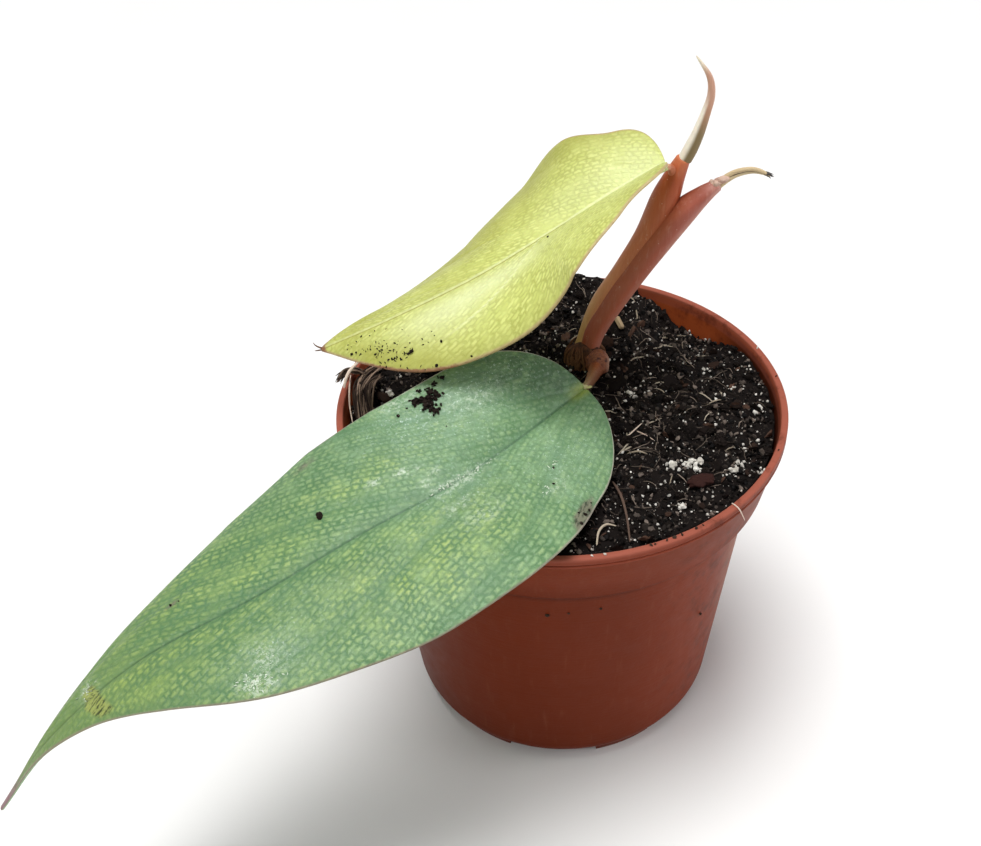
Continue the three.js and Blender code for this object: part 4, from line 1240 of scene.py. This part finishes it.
# Lumps where the green leaf meets its stalk: centre, half sizes, fineness, jag and tilt.
LEAF_JOINT_LUMPS = (
    ((4.3, -2, 70.6), (0.8, 0.7, 0.35), 4, 0.03, 0.2),
    ((5, -2.7, 70.9), (0.6, 0.3, 0.2), 3, 0.05, 0.3),
    ((2.6, -3.1, 71.1), (0.3, 0.25, 0.2), 3, 0.05, 0.3),
)


def make_green_petiole():
    tan = stem_look("tan_stalk", "#a4582e", "#9a7a50", "#a86a3c", "#744430", "#a08c64", "#c0a080")
    nodes = ("green_petiole",)
    stem_piece("green_petiole", GREEN_PETIOLE, tan, "tan_stalk", nodes, 50, ridges(2, 0.1), (1, 0, 0))
    # The lumps' pale cream is partly the swelling's own colour and partly painted glints.
    green = grain_look("leaf_joint", "#a0a058", "#d8d0a0", 0.45)
    random = np.random.default_rng(22)
    lumps = [pebble(random, *lump) for lump in LEAF_JOINT_LUMPS]
    piece("leaf_joint", join_shapes(lumps), green, "tan_stalk")


# Stump: an old, scarred stem base wrapped in brown fibre.


def lump(centre, half, jag, size, squeeze=1):
    """Uneven ball. A squeeze below 1 draws its bumps out in height."""
    points, faces = BALLS[4]
    place = points * half + centre
    uneven = 1 + jag * rough(place * (1, 1, squeeze), size)
    return points * half * uneven[:, None] + centre, faces


def make_stump():
    look = Look("stem_fibre", roughness=0.75, specular=0.3)
    fibrous = look.noise(0.7, detail=5, roughness=0.7, vector=look.place((1, 1, 0.25)))
    look.base = look.mix(look.between(fibrous, 0.3, 0.7), "#2e1a10", "#74462e")
    look.emboss(fibrous, 0.35)
    lumps = [lump(centre, half, 0.12, 1.4, 0.35) for centre, half in STUMP_LUMPS]
    piece("stump", join_shapes(lumps), look.finish(), "stem_fibre", ("stump",))
    look = Look("stem_knob", roughness=0.5, coat=0.05)
    rings = look.noise(0.8, detail=6, roughness=0.75)
    look.base = look.mix(look.between(rings, 0.3, 0.7), "#6e3826", "#b8704a")
    x, _, _ = look.split(look.place())
    # Painted highlight: a pale rim on the knob's right side.
    look.paint(look.between(x, 8.2, 9.0), "#c8a08a", 0.6)
    look.paint(look.speckle(0.8, 0.56, 0.66, detail=4), "#4a1c14")
    look.emboss(rings, 0.5)
    piece("stem_knob", lump(*KNOB, 0.14, 1.2), look.finish(), "stem_fibre")
    random = np.random.default_rng(31)
    strands = []
    for _ in range(STRAND_COUNT):
        turn = random.uniform(0, 2 * math.pi)
        lean = random.uniform(-0.8, 0.8)
        heights = np.linspace(STRAND_FOOT_Z, STRAND_TOP_Z - 2 * random.uniform(), 6)
        from_bulge = (heights - BULGE_Z) / BULGE_HALF_HEIGHT
        widths = BULGE_RADIUS * np.sqrt(np.clip(1 - from_bulge ** 2, 0.05, 1))
        angles = turn + lean * np.linspace(0, 1, 6) + random.normal(0, 0.12, 6)
        path = polar(widths, angles, heights) + STUMP_MIDDLE
        strands.append(tube((path, [0.12, 0.18, 0.16, 0.1]), 5, 14))
    strand_look = grain_look("stump_fibre", "#38200f", "#a07254", size=0.5)
    piece("stump_fibres", join_shapes(strands), strand_look, "stem_fibre")


# Loose pieces. Bark: centre, half sizes and turn. Coir: paths and how far its strands
# stray. The others: points along the middle and the radius at each.
BARK_CHIP = ((23.3, -21, 65.5), (2.2, 1.3, 0.5), 20)
WOOD_STICK = ([(9.3, 31.2, 65.0), (10.7, 28.2, 64.4), (12.1, 25.0, 63.4)], [0.7, 0.6, 0.5])
COIR_STRANDS = (
    ([(-33.4, 12.5, 64.6), (-35.9, 7.2, 66.0), (-36.3, 1.2, 66.2), (-34.9, -6.2, 64.8)], 0.8),
    ([(-33.2, 9, 64.8), (-34.6, 3.6, 66.3), (-34.3, -1.5, 66.2), (-32.8, -6.4, 65)], 0.7),
    ([(-35.6, 7.6, 66.2), (-37.6, 7.4, 67.4), (-39.2, 6.4, 67.7), (-40.4, 4.6, 67.1)], 0.7),
)
PALE_STRAW = (
    [(-36.6, 7, 69.6), (-38, 5.2, 69), (-38.7, 3.6, 68.2), (-39, 2.4, 67)],
    [0.22, 0.3, 0.3, 0.15],
)
PALE_ROOT = (
    [(5.6, -36, 65.2), (6, -33.4, 65.8), (7.2, -31.8, 65.8), (8.9, -31.5, 65.2)],
    [0.12, 0.2, 0.2, 0.1],
)
BROWN_ROOT = (
    [(8.6, -20.6, 65), (9.8, -25, 65.9), (10.6, -29.5, 65.4), (10.9, -35.2, 65.2)],
    [0.16, 0.22, 0.2, 0.14],
)
FIBRE_OVER_LIP = (
    [(27.6, -26.9, 65.9), (28.3, -28.1, 66.2), (28.9, -28.7, 65.7), (29.7, -29.2, 64.0)],
    [0.08, 0.11, 0.1, 0.05],
)
COIR_COUNT = 26
LONG_FIBRE = (
    [(-38.3, 7.2, 67.0), (-38.1, 3.0, 66.9), (-37.6, -1.5, 66.4), (-36.6, -6.0, 65.8)],
    [0.1, 0.16, 0.14, 0.08],
)
# Thin pale sticks that cross on the soil: both ends and the radius.
CROSSED_STICKS = (
    ((10.7, -10.0), (14.4, -5.5), 0.13),
    ((13.2, -7.6), (16.1, -10.8), 0.1),
)


def make_loose_pieces():
    red = grain_look("red_bark", "#0c0605", "#38201c", size=0.4, rare=1.3)
    centre, half, turn = BARK_CHIP
    points, faces = BALLS[4]
    block = np.sign(points) * np.abs(points) ** 0.9 * half * 1.05
    block = block * (1 + 0.35 * rough(block * (0.6, 1, 1), 0.7, 5))[:, None]
    lean = np.array(Matrix.Rotation(math.radians(turn), 3, "Z"))
    piece("bark_chip", (block @ lean.T + centre, faces), red, "red_bark", ("bark_chip",))
    wood = grain_look("grey_wood", "#8f7a5e", "#bda684", size=0.6)
    grained = tube_rings(WOOD_STICK, 24, 40, (0, 0, 1), ridges(5, 0.06))[0]
    piece("wood_stick", loft(grained), wood, "grey_wood", ("wood_stick",))
    coir = grain_look("coir", "#241a16", "#a08876", size=0.5, rare=1.5)
    random = np.random.default_rng(51)
    strands = []
    for path, reach in COIR_STRANDS:
        for _ in range(COIR_COUNT):
            shift = random.normal(0, reach * 0.36, 3)
            wander = np.asarray(path) + shift + random.normal(0, 0.22, (4, 3))
            strands.append(tube((wander, [0.08, 0.17, 0.15, 0.06]), 5, 16))
    piece("coir_tuft", join_shapes(strands), coir, "coir", ("coir_tuft",))
    straw = grain_look("straw", "#c4a894", "#ecdccc", 0.6, size=0.5)
    piece("pale_straw", tube(PALE_STRAW, 12, 40), straw, "straw", ("pale_straw",))
    pale = grain_look("pale_root_bark", "#8f7f6c", "#c9bba6", 0.6, size=0.6)
    piece("pale_root", tube(PALE_ROOT, 14, 40), pale, "pale_root_bark", ("pale_root",))
    brown = grain_look("brown_root_bark", "#3a2a24", "#6e5a4e", 0.6, size=0.6)
    piece("brown_root", tube(BROWN_ROOT, 14, 50), brown, "brown_root_bark", ("brown_root",))
    crossed = []
    for start, end, radius in CROSSED_STICKS:
        middle = ((start[0] + end[0]) / 2, (start[1] + end[1]) / 2)
        path = [on_soil(x, y, 0.5) for x, y in (start, middle, end)]
        crossed.append(tube((path, [radius, radius, 0.6 * radius]), 8, 16))
    crossed.append(tube(FIBRE_OVER_LIP, 6, 24))
    crossed.append(tube(LONG_FIBRE, 6, 30))
    piece("crossed_sticks", join_shapes(crossed), straw, "straw")


# Specks on the leaves: along, across and size. Each lump is a heap of grains.
LUMP_GRAINS = 26
LEAF_LUMPS = (
    (0.204, 0.81, 1.1), (0.194, 0.76, 1.5), (0.177, 0.77, 1.3), (0.197, 0.64, 1),
    (0.194, 0.71, 1.2), (0.174, 0.86, 0.8), (0.161, 0.89, 0.7), (0.147, 0.92, 0.6),
    (0.183, 0.91, 0.6),
)
LEAF_SPECKS = (
    (0.457, 0.318, 1.4), (0.146, -0.474, 0.4), (0.128, -0.662, 0.45), (0.172, -0.577, 0.5),
    (0.207, 0.446, 0.4), (0.247, 0.783, 0.7), (0.222, 0.81, 0.5), (0.218, 0.87, 0.3),
    (0.185, -0.9, 0.5), (0.178, -0.95, 0.7), (0.165, -0.96, 0.5), (0.196, -0.97, 0.6),
    (0.15, -0.94, 0.3), (0.661, 0.523, 0.6), (0.651, 0.489, 0.4),
)
YELLOW_SPECKS = (
    (0.771, -0.686, 0.9), (0.777, -0.71, 0.6), (0.712, -0.654, 0.6), (0.736, -0.934, 0.6),
    (0.672, -0.948, 0.45), (0.405, -0.13, 0.5), (0.819, -0.42, 0.45),
)
# Dust and mineral flecks: along, across, reach in both directions and count.
YELLOW_DUST = (0.81, -0.6, 0.045, 0.2, 130)
FLECK_GROUPS = (
    (0.6, -0.85, 0.02, 0.06, 60), (0.59, -0.6, 0.03, 0.12, 30), (0.29, 0.015, 0.035, 0.015, 24),
    (0.225, -0.01, 0.04, 0.015, 18), (0.3, 0.242, 0.01, 0.02, 10),
    (0.33, 0.29, 0.015, 0.02, 14), (0.211, -0.332, 0.02, 0.03, 8),
    (0.282, 0.156, 0.012, 0.02, 14), (0.299, 0.251, 0.015, 0.02, 8),
    (0.325, 0.277, 0.012, 0.02, 10), (0.37, 0.337, 0.015, 0.03, 8),
    (0.279, -0.403, 0.03, 0.06, 16), (0.193, -0.57, 0.01, 0.03, 12),
    (0.143, -0.425, 0.01, 0.03, 8), (0.785, 0.3, 0.012, 0.12, 20),
)


def on_blade(blade, along, across, lift):
    """Place a little above the upper side of a blade."""
    s, t = np.array(along, float), np.array(across, float)
    return blade_point(blade, s, t) + blade_normal(blade, s, t) * (BLADE_THICKNESS / 2 + lift)


def specks_on(random, blade, rows, level):
    specks = []
    for along, across, size in rows:
        place = on_blade(blade, along, across, 0.1 * size)
        specks.append(pebble(random, place, (size / 2, size / 2, size / 3), level, 0.2))
    return specks


def make_specks():
    random = np.random.default_rng(61)
    peat = grain_look("leaf_soil", "#090706", "#2a201b", fleck="#8f8478")
    lumps = []
    for along, across, size in LEAF_LUMPS:
        for _ in range(LUMP_GRAINS):
            shift = random.normal(0, 0.4 * size, 3) * (1, 1, 0.5)
            half = size * random.uniform(0.12, 0.32, 3)
            place = on_blade(GREEN_BLADE, along, across, 0.25 * size) + shift
            lumps.append(pebble(random, place, half, 2, 0.3))
    piece("leaf_crumbs", join_shapes(lumps), peat, "peat_soil", ("leaf_crumbs",), smooth=False)
    dots = specks_on(random, GREEN_BLADE, LEAF_SPECKS, 3)
    piece("leaf_crumb_dot", join_shapes(dots), peat, "peat_soil", ("leaf_crumb_dot",), smooth=False)
    dots = specks_on(random, YELLOW_BLADE, YELLOW_SPECKS, 2)
    along, across, long, wide, count = YELLOW_DUST
    for _ in range(count):
        s, t = along + random.normal(0, long), across + random.normal(0, wide)
        half = random.uniform(0.08, 0.24) * np.array([1.9, 0.9, 0.5])
        dots.append(pebble(random, on_blade(YELLOW_BLADE, s, t, 0.02), half, 1, 0.3))
    piece("yellow_leaf_specks", join_shapes(dots), peat, "peat_soil", smooth=False)
    chalk = grain_look("leaf_mineral", "#b4c4a8", "#e4ecdc", 0.6, size=0.3)
    flecks = []
    for along, across, long, wide, count in FLECK_GROUPS:
        for _ in range(count):
            s = along + random.normal(0, long / 2)
            t = np.clip(across + random.normal(0, wide), -0.98, 0.98)
            half = random.uniform(0.06, 0.2) * np.array([1.7, 0.8, 0.4])
            flecks.append(pebble(random, on_blade(GREEN_BLADE, s, t, 0.02), half, 1, 0.25))
    piece("leaf_flecks", join_shapes(flecks), chalk, "grey_wood", smooth=False)


# Dirt on the pot: angle in degrees, height and size, and grains on its lip.
POT_DIRT = (
    (-94, 47, 0.8), (-88, 47.6, 0.5), (-79, 48.2, 0.6), (-150, 34, 0.6), (-154, 30, 0.5),
    (-40, 33, 0.5),
)
LIP_GRAINS = (
    (-68, 0.5, "dark"), (-83, 0.5, "white"), (-80, 0.6, "white"), (9, 0.5, "dark"),
    (-21, 0.4, "dark"), (22, 0.6, "white"), (150, 0.6, "dark"), (97, 0.7, "dark"),
    (-150, 0.6, "white"), (-69, 0.7, "dark"), (-65, 0.5, "dark"), (-63, 0.8, "dark"),
    (-61, 0.6, "dark"), (-57, 0.7, "dark"), (-55, 0.4, "dark"),
)


def make_dirt():
    random = np.random.default_rng(71)
    dark, white = [], []
    for degrees, height, size in POT_DIRT:
        radius = slope(height, FOOT_HEIGHT, COLLAR_FOOT_Z, WALL_FOOT_RADIUS, WALL_TOP_RADIUS)
        place = polar(radius, math.radians(degrees), height)
        dark.append(pebble(random, place, np.full(3, size / 2), 2, 0.2))
    for degrees, size, kind in LIP_GRAINS:
        place = polar((LIP_RADIUS + LIP_BORE) / 2, math.radians(degrees), POT_HEIGHT + 0.3 * size)
        grain = pebble(random, place, size * np.array([0.45, 0.3, 0.25]), 2, 0.3)
        (white if kind == "white" else dark).append(grain)
    peat = grain_look("pot_dirt", "#1c1512", "#4a3a30")
    piece("pot_dirt", join_shapes(dark), peat, "peat_soil", smooth=False)
    chalk = grain_look("lip_grain", "#bdb6aa", "#f2eee6", 0.7, size=0.3)
    piece("lip_grains", join_shapes(white), chalk, "grey_wood", smooth=False)


# Leaves. The hairs start at the yellow leaf's tip.
TIP_HAIRS = (
    ([(0.6, 0, 0), (-0.8, 0.2, 0.5), (-1.5, 0.4, 1.2)], [0.22, 0.14, 0.05]),
    ([(0.6, 0, 0), (-0.6, -0.2, -0.1), (-1.2, -0.6, 0.1)], [0.2, 0.12, 0.05]),
)


def make_tip_hairs():
    brown = grain_look("tip_hair", "#4a3226", "#8a6650", size=0.5)
    end = np.array(YELLOW_BLADE["spine"][-1])
    hooks = [tube((end + path, radii), 6, 12) for path, radii in TIP_HAIRS]
    piece("leaf_tip_hairs", join_shapes(hooks), brown, "dried_sheath")


def make_leaves():
    layers = {"blade_tint": (YELLOWED, BLOOMED, BROWNED), "blade_marks_and_shade": (CHALKED, SHADED, TORN)}
    green = green_blade_look()
    build_blade("green_blade", GREEN_BLADE, green, "green_leaf", green_relief, layers)
    layers = {"blade_tint": (OLIVE_AND_SHADE, PALE, DRIED)}
    yellow = yellow_blade_look()
    build_blade("yellow_blade", YELLOW_BLADE, yellow, "yellow_leaf", yellow_relief, layers)


# Studio. Lights: place, size and power. The room's light goes from the lower to the
# upper strength between two heights of the sky.
FLOOR_SIZE = 9000
GLOW_REACH = (250, 1500)
LIGHTS = {
    "key": ((-120, -20, 1400), 700, 17.5),
    "fill": ((-350, -500, 450), 400, 1),
    "side": ((520, -40, 180), 240, 0.85),
}
SKY_RANGE = (-0.1, 0.9, 0.081, 0.405)
BACKDROP_LIGHT = 0.95
LIGHT_TARGET = (0, 0, 60)


def area_light(name, place, size, power):
    light = bpy.data.lights.new(name, "AREA")
    light.size = size * MM
    light.energy = power
    made = add_object(name, light)
    made.location = Vector(place) * MM
    aim = Vector(LIGHT_TARGET) - Vector(place)
    made.rotation_euler = aim.to_track_quat("-Z", "Y").to_euler()
    return made


def make_room():
    """The camera sees a plain pale backdrop, and the object is lit mostly from above."""
    world = bpy.data.worlds.new("pale_room")
    world.use_nodes = True
    nodes, links = world.node_tree.nodes, world.node_tree.links
    background = nodes["Background"]
    background.inputs["Color"].default_value = (0.95, 0.97, 1.0, 1)
    up = nodes.new("ShaderNodeSeparateXYZ")
    links.new(nodes.new("ShaderNodeTexCoord").outputs["Generated"], up.inputs[0])
    sky = nodes.new("ShaderNodeMapRange")
    links.new(up.outputs[2], sky.inputs[0])
    for socket, value in zip(sky.inputs[1:5], SKY_RANGE):
        socket.default_value = value
    seen = nodes.new("ShaderNodeMix")
    links.new(nodes.new("ShaderNodeLightPath").outputs["Is Camera Ray"], seen.inputs[0])
    links.new(sky.outputs[0], seen.inputs[2])
    seen.inputs[3].default_value = BACKDROP_LIGHT
    links.new(seen.outputs[0], background.inputs["Strength"])
    bpy.context.scene.world = world


def make_floor():
    """The floor glows far from the object, so that it stays pale up to the horizon."""
    half = FLOOR_SIZE / 2 * MM
    corners = [(-half, -half, 0), (half, -half, 0), (half, half, 0), (-half, half, 0)]
    mesh = bpy.data.meshes.new("floor")
    mesh.from_pydata(corners, [], [(0, 1, 2, 3)])
    look = Look("pale_floor", roughness=0.8)
    x, y, _ = look.split(look.place())
    look.base = look.mix(look.noise(40), "#f4f3f1", "#f1f0ee")
    look.shader.inputs["Emission Color"].default_value = (0.95, 0.96, 0.98, 1)
    glow = look.share(look.between(look.from_axis(x, y), *GLOW_REACH), BACKDROP_LIGHT)
    look.feed(look.shader.inputs["Emission Strength"], glow)
    mesh.materials.append(look.finish())
    return add_object("floor", mesh)


def make_studio():
    bpy.context.scene.view_settings.view_transform = "Standard"
    make_room()
    make_floor()
    [area_light(name, *values) for name, values in LIGHTS.items()]


def make_camera():
    camera = bpy.data.cameras.new("camera")
    camera.sensor_width = SENSOR_WIDTH
    camera.lens = FOCAL_PIXELS / PHOTO_WIDTH * SENSOR_WIDTH
    camera.clip_start = 0.01
    made = add_object("camera", camera)
    right, up = Vector(CAMERA_RIGHT).normalized(), Vector(CAMERA_UP).normalized()
    turn = Matrix((right, up, right.cross(up))).transposed().to_4x4()
    made.matrix_world = Matrix.Translation(Vector(CAMERA_PLACE) * MM) @ turn
    bpy.context.scene.camera = made


make_pot()
make_soil()
make_stump()
make_stalk()
make_spike()
make_dried_tip()
make_green_petiole()
make_leaves()
make_tip_hairs()
make_loose_pieces()
make_specks()
make_dirt()
make_studio()
make_camera()
